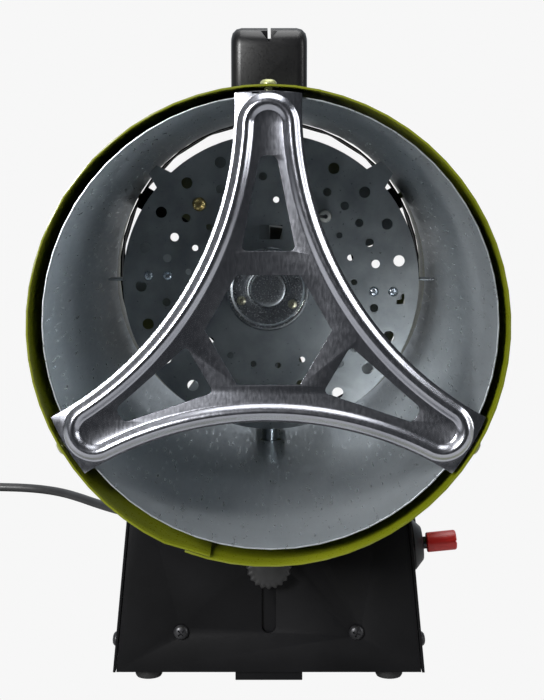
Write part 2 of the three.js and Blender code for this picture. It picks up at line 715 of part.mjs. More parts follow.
function motorGeometry() {
  const bore = SHAFT_RADIUS + GAP;
  return turned([
    [0, SHAFT_END + GAP],
    [bore, SHAFT_END + GAP],
    [bore, MOTOR_START],
    [MOTOR_RADIUS - MOTOR_BEVEL, MOTOR_START],
    [MOTOR_RADIUS, MOTOR_START + MOTOR_BEVEL],
    [MOTOR_RADIUS, MOTOR_END],
    [0, MOTOR_END],
  ], 28);
}
addPart(heater, 'fan_motor', motorGeometry(), 0x2a2b2d, 0.5, 0.4);

const RIM_RADIUS = SHELL_INNER - SHELL_WALL - 2 * GAP - GAP;
const RIM_WALL = 1;
const SLOT_BANDS = [[MOTOR_RADIUS + 7, 52], [57, 70], [75, 0]];

// A band-shaped opening between two arms of the rear guard.
function bandPath(inner, outer, arm) {
  const points = [];
  const steps = 7;
  const limit = (radius) => rad(60) - Math.asin(REAR_ARM_WIDTH / 2 / radius);
  for (let i = 0; i <= steps; i += 1) {
    const turn = rad(arm + 60) + limit(outer) * (2 * i / steps - 1);
    points.push(new THREE.Vector2(outer * Math.cos(turn), outer * Math.sin(turn)));
  }
  for (let i = steps; i >= 0; i -= 1) {
    const turn = rad(arm + 60) + limit(inner) * (2 * i / steps - 1);
    points.push(new THREE.Vector2(inner * Math.cos(turn), inner * Math.sin(turn)));
  }
  return new THREE.Path(points);
}

function rearGuardGeometry() {
  const face = new THREE.Shape(circlePath(0, 0, RIM_RADIUS - 0.2, 45).getPoints());
  for (const arm of REAR_ARM_ANGLES) {
    for (const [inner, outer] of SLOT_BANDS) {
      face.holes.push(bandPath(inner, outer || RIM_RADIUS - RIM_WALL, arm));
    }
  }
  const sheet = plate(face, REAR_GUARD_Y, REAR_GUARD_SHEET);
  const rim = turned([
    [RIM_RADIUS - RIM_WALL, REAR_FIX_Y - 6],
    [RIM_RADIUS, REAR_FIX_Y - 6],
    [RIM_RADIUS, REAR_GUARD_Y + REAR_GUARD_SHEET],
    [RIM_RADIUS - RIM_WALL, REAR_GUARD_Y + REAR_GUARD_SHEET],
    [RIM_RADIUS - RIM_WALL, REAR_FIX_Y - 6],
  ], 45);
  rim.rotateY(rad(4));
  const holes = REAR_ARM_ANGLES.map((angle) => (
    radialBar(angle, REAR_FIX_Y, RIM_RADIUS - 3, RIM_RADIUS + 2, FIX_HOLE, 10)));
  return cut(join([sheet, rim]), holes);
}
addPart(heater, 'rear_guard', rearGuardGeometry(), 0x141415, 0.5, 0.2);
REAR_ARM_ANGLES.forEach((angle, i) => addRadialScrew(`rear_screw_${i + 1}`, angle, REAR_FIX_Y));

// ---------------------------------------------------------------- carrying handle
const HANDLE_ROUND = 5;
const NOTCH_WIDTH = 1.5;
const NOTCH_DEPTH = 5.5;

function handleGeometry() {
  const top = TUBE_RADIUS + HANDLE_RISE - HANDLE_ROUND;
  const foot = TUBE_RADIUS - 3;
  const y0 = HANDLE_START + HANDLE_ROUND;
  const y1 = HANDLE_START + HANDLE_LENGTH - HANDLE_ROUND;
  const under = TUBE_RADIUS + HANDLE_RISE - GRIP_THICKNESS + HANDLE_ROUND;
  const post = 9;
  const outline = new THREE.Shape();
  outline.moveTo(y0, foot);
  outline.lineTo(y0 + post, foot);
  outline.lineTo(y0 + post, under - 7);
  outline.quadraticCurveTo(y0 + post, under - 1, y0 + post + 9, under - 0.6);
  outline.lineTo(y1 - post - 9, under - 0.6);
  outline.quadraticCurveTo(y1 - post, under - 1, y1 - post, under - 7);
  outline.lineTo(y1 - post, foot);
  outline.lineTo(y1, foot);
  outline.lineTo(y1, top - 8);
  outline.quadraticCurveTo(y1, top, y1 - 10, top);
  outline.lineTo(y0 + 5, top);
  outline.quadraticCurveTo(y0, top, y0, top - 5);
  const half = HANDLE_WIDTH / 2 - HANDLE_ROUND;
  const geometry = new THREE.ExtrudeGeometry(outline, {
    depth: 2 * half, curveSegments: 4,
    bevelEnabled: true, bevelThickness: HANDLE_ROUND, bevelSize: HANDLE_ROUND, bevelSegments: 3,
  });
  geometry.translate(0, 0, -half);
  geometry.rotateY(Math.PI / 2);
  geometry.rotateX(Math.PI / 2);
  const level = TUBE_RADIUS + HANDLE_RISE;
  const notch = block([-NOTCH_WIDTH / 2, HANDLE_START - 1, level - NOTCH_DEPTH],
    [NOTCH_WIDTH / 2, HANDLE_START + HANDLE_LENGTH + 1, level + 2]);
  const funnelShape = new THREE.Shape([
    new THREE.Vector2(0, level - NOTCH_DEPTH - 2),
    new THREE.Vector2(6, level + 1),
    new THREE.Vector2(-6, level + 1),
  ]);
  const funnel = plate(funnelShape, HANDLE_START - 1, 5);
  return cut(geometry, [bar(0, 0, 0, TUBE_LENGTH, CONTACT_RADIUS, 90), notch, funnel]);
}
addPart(heater, 'handle', handleGeometry(), 0x151517, 0.45, 0);

// ---------------------------------------------------------------- sheet-metal base
const FRONT_SCREW = [39, BASE_BOTTOM + 18.5];
const SIDE_SCREW_Z = BASE_BOTTOM + 12;
const SIDE_SCREW_Y = [BASE_START + 10, BASE_END - 10];
const FLANGE_HEIGHT = 15;
const PANEL_LEAN = Math.atan(BASE_SLOPE);
const SLOT_HALF = STUD_RADIUS + GAP + 0.1;
const GLAND_AT = [-42, BASE_BOTTOM + 22];
const GLAND_HOLE = CORD_RADIUS + 2.3;
const INLET_AT = [38, BASE_BOTTOM + 24];
const INLET_NECK = 6.4;
const SWITCH_AT = [0, BASE_BOTTOM + 32];
const SWITCH_HALF = [11, 8];

// Half width of the base, to the outer face of a side panel, at a height.
function baseHalf(z) {
  return BASE_FOOT_HALF - (z - BASE_BOTTOM) * BASE_SLOPE;
}

// Height at which a line parallel to the side, moved in by inset, meets the tube.
function meetsTube(inset) {
  let z = -CONTACT_RADIUS;
  while (Math.hypot(baseHalf(z) - inset, z) > CONTACT_RADIUS && z < 0) z += 0.25;
  return z - 0.5;
}

function endPanelShape() {
  const inset = BASE_SHEET * 1.01 + GAP;
  const top = meetsTube(inset);
  const bottomHalf = baseHalf(BASE_BOTTOM) - inset;
  const topHalf = baseHalf(top) - inset;
  const turn = Math.atan2(top, topHalf);
  const shape = new THREE.Shape();
  shape.moveTo(-bottomHalf, BASE_BOTTOM);
  shape.lineTo(bottomHalf, BASE_BOTTOM);
  shape.absarc(0, 0, Math.hypot(top, topHalf), turn, -Math.PI - turn, true);
  return shape;
}

function frontPanelGeometry() {
  const shape = endPanelShape();
  const low = KNOB_Z - LEG_TRAVEL - 1;
  const slot = new THREE.Path();
  slot.absarc(0, KNOB_Z + 1, SLOT_HALF, 0, Math.PI, false);
  slot.absarc(0, low, SLOT_HALF, Math.PI, 2 * Math.PI, false);
  shape.holes.push(slot);
  for (const side of [-1, 1]) {
    shape.holes.push(circlePath(side * FRONT_SCREW[0], FRONT_SCREW[1], FIX_HOLE, 10));
  }
  return plate(shape, BASE_START, BASE_SHEET, 10);
}

function rearPanelGeometry() {
  const shape = endPanelShape();
  shape.holes.push(circlePath(...GLAND_AT, GLAND_HOLE, 14));
  shape.holes.push(circlePath(...INLET_AT, INLET_NECK + GAP + 0.1, 14));
  shape.holes.push(rectanglePath(SWITCH_AT[0] - SWITCH_HALF[0] - GAP, SWITCH_AT[1] - SWITCH_HALF[1] - GAP,
    SWITCH_AT[0] + SWITCH_HALF[0] + GAP, SWITCH_AT[1] + SWITCH_HALF[1] + GAP));
  return plate(shape, BASE_END - BASE_SHEET, BASE_SHEET, 10);
}

// A side panel in its own frame: X outwards from its outer face, Z up along the panel.
const panelHeight = (meetsTube(BASE_SHEET) - BASE_BOTTOM) / Math.cos(PANEL_LEAN);
const panelAlong = (z) => (z - BASE_BOTTOM) / Math.cos(PANEL_LEAN);
const VALVE_AT = [BASE_START + 25, panelAlong(CONTROL_Z)];
const PIEZO_AT = [BASE_START + 60, panelAlong(CONTROL_Z)];
const VALVE_NECK = 5.2;
const PIEZO_BODY = 8;

function crossBar(y, z, from, to, radius, sides = 16) {
  const geometry = new THREE.CylinderGeometry(radius, radius, to - from, sides);
  geometry.rotateZ(Math.PI / 2);
  geometry.translate((from + to) / 2, y, z);
  return geometry;
}

function sidePanelGeometry(side) {
  const panel = sideBlock(side, [-BASE_SHEET, 0], [BASE_START - 0.6, BASE_END + 0.6], [0, panelHeight]);
  const holes = SIDE_SCREW_Y.map((y) => crossBar(y, panelAlong(SIDE_SCREW_Z), -4, 4, FIX_HOLE, 10));
  if (side > 0) {
    holes.push(crossBar(...VALVE_AT, -4, 4, VALVE_NECK + GAP, 20));
    holes.push(crossBar(...PIEZO_AT, -4, 4, PIEZO_BODY + GAP, 20));
  }
  return cut(panel, holes);
}

const BLACK = 0x0e0e0f;
addPart(heater, 'base_front', frontPanelGeometry(), BLACK, 0.55, 0.3);
addPart(heater, 'base_rear', rearPanelGeometry(), BLACK, 0.55, 0.3);
const panelGroups = [-1, 1].map((side) => {
  const group = new THREE.Group();
  group.position.set(side * BASE_FOOT_HALF, 0, BASE_BOTTOM);
  group.rotation.y = -side * PANEL_LEAN;
  heater.add(group);
  return group;
});
addPart(panelGroups[0], 'base_left', sidePanelGeometry(-1), BLACK, 0.55, 0.3);
addPart(panelGroups[1], 'base_right', sidePanelGeometry(1), BLACK, 0.55, 0.3);

const LEG_START = BASE_START + BASE_SHEET + GAP;
const FLOOR_PLATE_START = LEG_START + LEG_THICKNESS + 1;
const FLOOR_PLATE_END = BASE_END - BASE_SHEET - GAP;
const FLANGE_OUTER = baseHalf(BASE_BOTTOM + FLANGE_HEIGHT + BASE_SHEET) - BASE_SHEET - 2 * GAP;

function floorPlateGeometry() {
  const low = BASE_BOTTOM;
  const sheet = block([-FLANGE_OUTER, FLOOR_PLATE_START, low],
    [FLANGE_OUTER, FLOOR_PLATE_END, low + BASE_SHEET]);
  const flanges = [-1, 1].map((side) => sideBlock(side, [FLANGE_OUTER - BASE_SHEET, FLANGE_OUTER],
    [FLOOR_PLATE_START, FLOOR_PLATE_END], [low, low + FLANGE_HEIGHT]));
  const holes = SIDE_SCREW_Y.map((y) => (
    crossBar(y, SIDE_SCREW_Z, -TUBE_RADIUS, TUBE_RADIUS, FIX_HOLE + 0.3, 10)));
  return cut(join([sheet, ...flanges]), holes);
}
addPart(heater, 'base_floor', floorPlateGeometry(), BLACK, 0.55, 0.3);

const caseScrew = screwGeometry(3.4, 1.9, FIX_SHANK, 5);
[-1, 1].forEach((side, k) => {
  addScrew(heater, `front_screw_${k + 1}`, caseScrew,
    [side * FRONT_SCREW[0], BASE_START - GAP, FRONT_SCREW[1]], [0, 0, 0], 0x1c1c1e);
  SIDE_SCREW_Y.forEach((y, i) => {
    addScrew(panelGroups[k], `side_screw_${side < 0 ? 'left' : 'right'}_${i + 1}`, caseScrew,
      [side * GAP, y, panelAlong(SIDE_SCREW_Z)], [0, 0, side * Math.PI / 2], 0x1c1c1e);
  });
});

const foot = turned([
  [0, 0],
  [FOOT_RADIUS - 1, 0],
  [FOOT_RADIUS, 1.4],
  [FOOT_RADIUS, FOOT_HEIGHT],
  [0, FOOT_HEIGHT],
], 12);
foot.rotateX(Math.PI / 2);
const FOOT_Y = [BASE_START + FOOT_RADIUS + 5, BASE_END - FOOT_RADIUS - 4];
let footNumber = 0;
for (const y of FOOT_Y) {
  for (const side of [-1, 1]) {
    footNumber += 1;
    const piece = addPart(heater, `foot_${footNumber}`, foot, 0x1a1a1a, 0.85, 0);
    piece.position.set(side * FOOT_SPREAD, y, FLOOR);
  }
}

// ---------------------------------------------------------------- adjustable front leg
const LEG_FLOOR_GAP = 1.2;
const LEG_TOP = KNOB_Z + 6;
const LEG_FOOT_DEPTH = 12;
const GUIDE_HALF_HEIGHT = 6;
const GUIDE_SHEET = 1;
const GUIDE_SIDE_PLAY = 1;          // leg's edge to the guide
const GUIDE_EAR = 6;                // guide past the screws
const STUD_END = LEG_START + LEG_THICKNESS + 0.4;

function legGeometry() {
  const low = FLOOR + LEG_FLOOR_GAP;
  const half = LEG_WIDTH / 2;
  const blade = block([-half, LEG_START, low], [half, LEG_START + LEG_THICKNESS, LEG_TOP]);
  const toe = block([-half, LEG_START, low], [half, LEG_START + LEG_FOOT_DEPTH, low + LEG_THICKNESS]);
  return cut(join([blade, toe]), [bar(0, KNOB_Z, 0, TUBE_LENGTH, STUD_RADIUS + GAP, 16)]);
}
addPart(heater, 'adjusting_leg', legGeometry(), 0x1b1b1c, 0.5, 0.4);

// A hat-shaped strap behind the front panel that holds the leg against it.
function guideGeometry() {
  const inner = LEG_WIDTH / 2 + GUIDE_SIDE_PLAY;
  const outer = inner + GUIDE_SHEET;
  const ear = FRONT_SCREW[0] + GUIDE_EAR;
  const earBack = LEG_START + GUIDE_SHEET;
  const inside = STUD_END + GAP;
  const back = inside + GUIDE_SHEET;
  const outline = new THREE.Shape([
    [-ear, LEG_START], [-inner, LEG_START], [-inner, inside], [inner, inside],
    [inner, LEG_START], [ear, LEG_START], [ear, earBack],
    [outer, earBack], [outer, back], [-outer, back],
    [-outer, earBack], [-ear, earBack],
  ].map(([x, y]) => new THREE.Vector2(x, y)));
  const guide = new THREE.ExtrudeGeometry(outline, {
    depth: 2 * GUIDE_HALF_HEIGHT, bevelEnabled: false,
  });
  guide.translate(0, 0, FRONT_SCREW[1] - GUIDE_HALF_HEIGHT);
  const holes = [-1, 1].map((side) => (
    bar(side * FRONT_SCREW[0], FRONT_SCREW[1], LEG_START - 1, LEG_START + 3, FIX_HOLE, 10)));
  return cut(guide, holes);
}
addPart(heater, 'leg_guide', guideGeometry(), 0x7c8083, 0.45, 0.8);

// The thumb knob: a scalloped disc moulded on a stud that passes the slot into the leg.
const KNOB_LOBES = 20;
const KNOB_DIP = 0.8;
const KNOB_GRIP = 7;
const KNOB_BOSS = 2;
const KNOB_BOSS_RADIUS = 6;

function knobGeometry() {
  const points = [];
  for (let i = 0; i < KNOB_LOBES * 2; i += 1) {
    const radius = i % 2 === 0 ? KNOB_RADIUS : KNOB_RADIUS - KNOB_DIP;
    points.push(polar(radius, 360 * i / (KNOB_LOBES * 2)));
  }
  const bossEnd = BASE_START - GAP;
  const gripEnd = bossEnd - KNOB_BOSS;
  const grip = plate(new THREE.Shape(points), gripEnd - KNOB_GRIP, KNOB_GRIP);
  const boss = bar(0, 0, gripEnd, bossEnd, KNOB_BOSS_RADIUS);
  const stud = bar(0, 0, bossEnd, STUD_END, STUD_RADIUS);
  const knob = join([grip, boss, stud]);
  knob.translate(0, 0, KNOB_Z);
  return knob;
}
addPart(heater, 'leg_knob', knobGeometry(), 0x202021, 0.7, 0);

// ---------------------------------------------------------------- gas valve and igniter
const NUT_RADIUS = 11.8;
const NUT_HEIGHT = 6;
const BUTTON_RADIUS = 4.55;
const BUTTON_START = 8;
const BUTTON_LENGTH = 13.6;
const STEM_RADIUS = 2.8;
const STEM_DEPTH = 8;
const VALVE_RADIUS = 10;
const VALVE_LENGTH = 34;

// A turned piece about the local X axis of the right-hand panel; points are [radius, x].
function crossTurned(profile, place, sides = 24) {
  const geometry = turned(profile, sides);
  geometry.rotateZ(-Math.PI / 2);
  geometry.translate(0, ...place);
  return geometry;
}

function valveGeometry() {
  const bore = STEM_RADIUS + GAP;
  const back = -BASE_SHEET - GAP;
  return crossTurned([
    [0, back - VALVE_LENGTH],
    [VALVE_RADIUS, back - VALVE_LENGTH],
    [VALVE_RADIUS, back],
    [VALVE_NECK, back],
    [VALVE_NECK, NUT_HEIGHT - 4],
    [bore, NUT_HEIGHT - 4],
    [bore, -STEM_DEPTH - 7],
    [0, -STEM_DEPTH - 7],
  ], VALVE_AT, 20);
}
const rightPanel = panelGroups[1];
addPart(rightPanel, 'gas_valve', valveGeometry(), 0xa88f55, 0.4, 0.85);

function nutGeometry() {
  return crossTurned([
    [VALVE_NECK + GAP, GAP],
    [NUT_RADIUS, GAP],
    [NUT_RADIUS, 2],
    [VALVE_NECK + 2, NUT_HEIGHT],
    [VALVE_NECK + GAP, NUT_HEIGHT],
    [VALVE_NECK + GAP, GAP],
  ], VALVE_AT, 28);
}
addPart(rightPanel, 'valve_nut', nutGeometry(), 0x19191a, 0.5, 0);

function buttonGeometry() {
  const end = BUTTON_START + BUTTON_LENGTH;
  const button = crossTurned([
    [0, -STEM_DEPTH],
    [STEM_RADIUS, -STEM_DEPTH],
    [STEM_RADIUS, BUTTON_START],
    [BUTTON_RADIUS, BUTTON_START],
    [BUTTON_RADIUS, end - 0.6],
    [BUTTON_RADIUS - 0.6, end],
    [0, end],
  ], VALVE_AT, 20);
  const [y, z] = VALVE_AT;
  return cut(button, [block([end - 1, y - 6, z - 0.6], [end + 1, y + 6, z + 0.6])]);
}
addPart(rightPanel, 'valve_button', buttonGeometry(), 0xb3201f, 0.4, 0);

const PIEZO_BUTTON_RADIUS = 5.5;
const PIEZO_BUTTON_DEPTH = 8;
const PIEZO_BUTTON_HEIGHT = 6.4;
const PIEZO_BEZEL = 10.5;
const PIEZO_BEZEL_HEIGHT = 2.4;
const PIEZO_LENGTH = 30;
const PIEZO_BORE_DEPTH = 13;
const PIEZO_BEVEL = 0.8;
function piezoGeometry() {
  const bore = PIEZO_BUTTON_RADIUS + GAP;
  return crossTurned([
    [0, -PIEZO_LENGTH],
    [PIEZO_BODY, -PIEZO_LENGTH],
    [PIEZO_BODY, GAP],
    [PIEZO_BEZEL, GAP],
    [PIEZO_BEZEL, PIEZO_BEZEL_HEIGHT - PIEZO_BEVEL],
    [PIEZO_BEZEL - PIEZO_BEVEL, PIEZO_BEZEL_HEIGHT],
    [bore, PIEZO_BEZEL_HEIGHT],
    [bore, -PIEZO_BORE_DEPTH],
    [0, -PIEZO_BORE_DEPTH],
  ], PIEZO_AT, 24);
}
addPart(rightPanel, 'piezo_igniter', piezoGeometry(), 0x1c1c1d, 0.5, 0);
addPart(rightPanel, 'piezo_button', crossTurned([
  [0, -PIEZO_BUTTON_DEPTH],
  [PIEZO_BUTTON_RADIUS, -PIEZO_BUTTON_DEPTH],
  [PIEZO_BUTTON_RADIUS, PIEZO_BUTTON_HEIGHT - PIEZO_BEVEL],
  [PIEZO_BUTTON_RADIUS - PIEZO_BEVEL, PIEZO_BUTTON_HEIGHT],
  [0, PIEZO_BUTTON_HEIGHT],
], PIEZO_AT, 20), 0x232325, 0.45, 0);

// ---------------------------------------------------------------- rear panel fittings
const SWITCH_DEPTH = 16;
const ROCKER_HALF = 7.8;
const ROCKER_RADIUS = 6.4;
const ROCKER_TILT = 8;
const ROCKER_AXIS_Y = BASE_END - 1.5;

const INLET_HEX = 8.2;
const INLET_HEX_END = BASE_END + 7;
const INLET_DEPTH = 16;
const SPIGOT_RADIUS = 6;
const SPIGOT_END = BASE_END + 21;
const INLET_BORE = 2.6;

function inletGeometry() {
  const hex = turned([
    [0, BASE_END + GAP],
    [INLET_HEX, BASE_END + GAP],
    [INLET_HEX, INLET_HEX_END],
    [0, INLET_HEX_END],
  ], 6);
  const neck = bar(0, 0, BASE_END - INLET_DEPTH, BASE_END + GAP + 1, INLET_NECK, 14);
  const spigot = bar(0, 0, INLET_HEX_END - 1, SPIGOT_END, SPIGOT_RADIUS, 14);
  const bore = bar(0, 0, BASE_END - 2, SPIGOT_END + 2, INLET_BORE, 10);
  const fitting = cut(join([neck, hex, spigot]), [bore]);
  fitting.translate(INLET_AT[0], 0, INLET_AT[1]);
  return fitting;
}
addPart(heater, 'gas_inlet', inletGeometry(), 0xb0924e, 0.35, 0.9);

function switchGeometry() {
  const [hx, hz] = SWITCH_HALF;
  const flange = block([-hx - 2, BASE_END + GAP, -hz - 2], [hx + 2, BASE_END + 2, hz + 2]);
  const body = block([-hx, BASE_END - SWITCH_DEPTH, -hz], [hx, BASE_END + 1, hz]);
  const well = block([-ROCKER_HALF - GAP, BASE_END - SWITCH_DEPTH + 4, -ROCKER_RADIUS - 0.5],
    [ROCKER_HALF + GAP, BASE_END + 4, ROCKER_RADIUS + 0.5]);
  const frame = cut(join([flange, body]), [well]);
  frame.translate(SWITCH_AT[0], 0, SWITCH_AT[1]);
  return frame;
}
addPart(heater, 'switch_frame', switchGeometry(), 0x161617, 0.5, 0);

// The rocker: a round-bellied block with a shallow V across its face, tipped to its off side.
function rockerGeometry() {
  const points = [[4.0, 0]];
  for (let i = 0; i <= 8; i += 1) {
    const turn = rad(30) + (2 * Math.PI - 2 * rad(30)) * i / 8;
    points.push([ROCKER_RADIUS * Math.cos(turn), ROCKER_RADIUS * Math.sin(turn)]);
  }
  const shape = new THREE.Shape(points.map(([x, y]) => new THREE.Vector2(x, y)));
  const rocker = new THREE.ExtrudeGeometry(shape, {
    depth: 2 * ROCKER_HALF, bevelEnabled: false,
  });
  rocker.translate(0, 0, -ROCKER_HALF);
  rocker.rotateZ(rad(ROCKER_TILT));
  rocker.rotateY(Math.PI / 2);
  rocker.rotateX(Math.PI / 2);
  return rocker;
}
const rocker = addPart(heater, 'switch_rocker', rockerGeometry(), 0x26262a, 0.4, 0);
rocker.position.set(SWITCH_AT[0], ROCKER_AXIS_Y, SWITCH_AT[1]);

// ---------------------------------------------------------------- mains cord
const GLAND_LENGTH = 28;
const GLAND_TIP = BASE_END + GLAND_LENGTH;
const GLAND_FLANGE_RADIUS = 8;

// A moulded strain relief: a neck through the panel, a flange on it and a long taper.
function glandGeometry() {
  const neck = GLAND_HOLE - GAP;
  const gland = turned([
    [0, BASE_END - 6],
    [neck, BASE_END - 6],
    [neck, BASE_END + GAP],
    [GLAND_FLANGE_RADIUS, BASE_END + GAP],
    [GLAND_FLANGE_RADIUS, BASE_END + 3],
    [GLAND_FLANGE_RADIUS - 2, BASE_END + 6],
    [CORD_RADIUS + 1, GLAND_TIP],
    [0, GLAND_TIP],
  ], 18);
  gland.translate(GLAND_AT[0], 0, GLAND_AT[1]);
  return gland;
}
addPart(heater, 'cord_gland', glandGeometry(), 0x121213, 0.6, 0);

const CORD_ON_FLOOR = FLOOR + CORD_RADIUS + 0.1;
const CORD_ROUTE = [
  [GLAND_AT[0], GLAND_TIP + GAP, GLAND_AT[1]],
  [GLAND_AT[0], GLAND_TIP + 9, GLAND_AT[1] - 0.4],
  [-43.5, 320, GLAND_AT[1] - 3],
  [-49, 333, GLAND_AT[1] - 9],
  [-58, 344, GLAND_AT[1] - 16],
  [-70, 354, CORD_ON_FLOOR + 1.6],
  [-83, 363, CORD_ON_FLOOR],
  [-96, 373, CORD_ON_FLOOR],
  [-108, 385, CORD_ON_FLOOR],
  [-120, 399, CORD_ON_FLOOR],
  [-132, 414, CORD_ON_FLOOR],
  [-145, 428, CORD_ON_FLOOR],
  [-158, 437.5, CORD_ON_FLOOR],
  [-172, 443.5, CORD_ON_FLOOR],
  [-188, 446.5, CORD_ON_FLOOR],
  [-206, 447.5, CORD_ON_FLOOR],
  [-226, 447.5, CORD_ON_FLOOR],
  [-246, 446.5, CORD_ON_FLOOR],
  [-257, 445.7, CORD_ON_FLOOR],
];

function cordGeometry() {
  const route = new THREE.CatmullRomCurve3(CORD_ROUTE.map((point) => new THREE.Vector3(...point)));
  const section = new THREE.Shape(circlePath(0, 0, CORD_RADIUS, 8).getPoints());
  return new THREE.ExtrudeGeometry(section, { steps: 32, bevelEnabled: false, extrudePath: route });
}
addPart(heater, 'mains_cord', cordGeometry(), 0x111112, 0.6, 0);

// Two columns and three layers of turns, lying flat on the floor.
function coilGeometry() {
  const inner = COIL_RADIUS - 2 * CORD_RADIUS;
  const outer = COIL_RADIUS + 2 * CORD_RADIUS;
  const height = 6 * CORD_RADIUS;
  const ring = turned([[inner, 0], [outer, 0], [outer, height], [inner, height], [inner, 0]], 36);
  ring.rotateX(Math.PI / 2);
  ring.translate(COIL_CENTRE[0], COIL_CENTRE[1], FLOOR + 0.1);
  return ring;
}
addPart(heater, 'cord_coil', coilGeometry(), 0x111112, 0.6, 0);

// The moulded plug lies in front of the coil with its two pins pointing away from it.
const PLUG_RADIUS = 18.5;
const PLUG_X = COIL_CENTRE[0] - COIL_RADIUS - CORD_RADIUS;
const PLUG_TAIL = COIL_CENTRE[1] - 24;
const PLUG_FACE = PLUG_TAIL - 71;
const PIN_SPREAD = 9.5;
const PIN_RADIUS = 2.4;
const PIN_LENGTH = 19;

function plugGeometry() {
  const body = turned([
    [0, PLUG_FACE],
    [PLUG_RADIUS - 1, PLUG_FACE],
    [PLUG_RADIUS, PLUG_FACE + 1],
    [PLUG_RADIUS - 1, PLUG_FACE + 20],
    [PLUG_RADIUS - 7, PLUG_FACE + 34],
    [7, PLUG_FACE + 44],
    [CORD_RADIUS + 1, PLUG_TAIL],
    [0, PLUG_TAIL],
  ], 24);
  const pins = [-1, 1].map((side) => (
    bar(side * PIN_SPREAD, 0, PLUG_FACE - PIN_LENGTH, PLUG_FACE + 2, PIN_RADIUS, 10)));
  const plug = join([body, ...pins]);
  plug.translate(PLUG_X, 0, FLOOR + PLUG_RADIUS + 0.2);
  return plug;
}
addPart(heater, 'plug', plugGeometry(), 0x131314, 0.6, 0);

export default heater;
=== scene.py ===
# A portable forced-air gas heater: a painted tube on a sheet-metal base, seen into its outlet.
# Metres. +Z is up and the hot air leaves towards -Y.
import math

import bpy
from mathutils import Matrix, Vector


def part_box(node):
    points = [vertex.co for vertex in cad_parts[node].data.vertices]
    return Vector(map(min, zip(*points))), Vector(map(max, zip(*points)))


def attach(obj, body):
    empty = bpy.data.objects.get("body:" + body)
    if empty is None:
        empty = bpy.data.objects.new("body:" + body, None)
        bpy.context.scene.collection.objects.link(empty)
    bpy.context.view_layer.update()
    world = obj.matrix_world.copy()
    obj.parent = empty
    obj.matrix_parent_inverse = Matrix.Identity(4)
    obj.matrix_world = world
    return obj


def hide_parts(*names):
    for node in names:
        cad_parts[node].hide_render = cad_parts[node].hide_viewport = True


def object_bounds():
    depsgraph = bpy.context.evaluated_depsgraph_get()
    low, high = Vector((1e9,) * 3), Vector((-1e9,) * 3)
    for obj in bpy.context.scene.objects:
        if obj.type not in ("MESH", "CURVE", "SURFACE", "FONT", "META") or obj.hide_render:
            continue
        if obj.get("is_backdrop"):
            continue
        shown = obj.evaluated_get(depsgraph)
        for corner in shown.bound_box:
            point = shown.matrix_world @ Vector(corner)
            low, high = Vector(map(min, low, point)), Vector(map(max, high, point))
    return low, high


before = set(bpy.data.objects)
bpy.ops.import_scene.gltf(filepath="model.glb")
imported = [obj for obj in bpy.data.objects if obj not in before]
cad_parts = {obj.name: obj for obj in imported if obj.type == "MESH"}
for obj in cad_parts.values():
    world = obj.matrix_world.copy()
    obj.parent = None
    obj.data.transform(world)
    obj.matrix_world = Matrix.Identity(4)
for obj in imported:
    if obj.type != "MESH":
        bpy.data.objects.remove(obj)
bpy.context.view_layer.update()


# ------------------------------------------------------------------------------- camera
# A long lens a little above the tube's axis, tilted down to look into the outlet, so that
# the rims, the baffle and the opening at the back line up as rings.
AXIS_Z = 0.1657
OUTLET_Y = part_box("outer_shell")[0].y
CAMERA_ASIDE = 0.0014
CAMERA_BACK = 0.5547
CAMERA_RISE = 0.0618
CAMERA_TILT = 7.14
CAMERA_LENS = 73.41

camera_data = bpy.data.cameras.new("camera")
camera_data.sensor_width = 36
camera_data.lens = CAMERA_LENS
camera = bpy.data.objects.new("camera", camera_data)
camera.location = (CAMERA_ASIDE, OUTLET_Y - CAMERA_BACK, AXIS_Z + CAMERA_RISE)
camera.rotation_euler = (math.radians(90 - CAMERA_TILT), 0, 0)
bpy.context.collection.objects.link(camera)
bpy.context.scene.camera = camera


# --------------------------------------------------------------------------- mains cord
# A round rubber-sheathed lead. It leaves the gland at the back of the base, drops to the
# floor and is put away as a low coil of four turns, with its plug just in front of it.
CORD_RADIUS = 0.003
CORD_HEIGHT = 0.0031
COIL_CENTRE = Vector((-0.262, 0.22855, 0))
COIL_INNER = 0.033
COIL_OUTER = 0.039
TURN_STEP = 15
LAST_TURN = 1530

cord_route = [
    (-0.0420, 0.12785, 0.0275),
    (-0.0420, 0.13655, 0.0271),
    (-0.0435, 0.14855, 0.0245),
    (-0.0490, 0.16155, 0.0185),
    (-0.0580, 0.17255, 0.0115),
    (-0.0700, 0.18255, 0.0047),
    (-0.0830, 0.19155, CORD_HEIGHT),
    (-0.0960, 0.20155, CORD_HEIGHT),
    (-0.1080, 0.21355, CORD_HEIGHT),
    (-0.1200, 0.22755, CORD_HEIGHT),
    (-0.1320, 0.24255, CORD_HEIGHT),
    (-0.1450, 0.25655, CORD_HEIGHT),
    (-0.1580, 0.26605, CORD_HEIGHT),
    (-0.1720, 0.27205, CORD_HEIGHT),
    (-0.1880, 0.27505, CORD_HEIGHT),
    (-0.2060, 0.27605, CORD_HEIGHT),
    (-0.2260, 0.27605, CORD_HEIGHT),
    (-0.2460, 0.27505, CORD_HEIGHT),
]


def between(turn, stations):
    """The value at a turn along the coil, eased between stations of (turn, value)."""
    for (start, low), (end, high) in zip(stations, stations[1:]):
        if turn <= end:
            share = (turn - start) / (end - start)
            return low + (high - low) * share * share * (3 - 2 * share)
    return stations[-1][1]


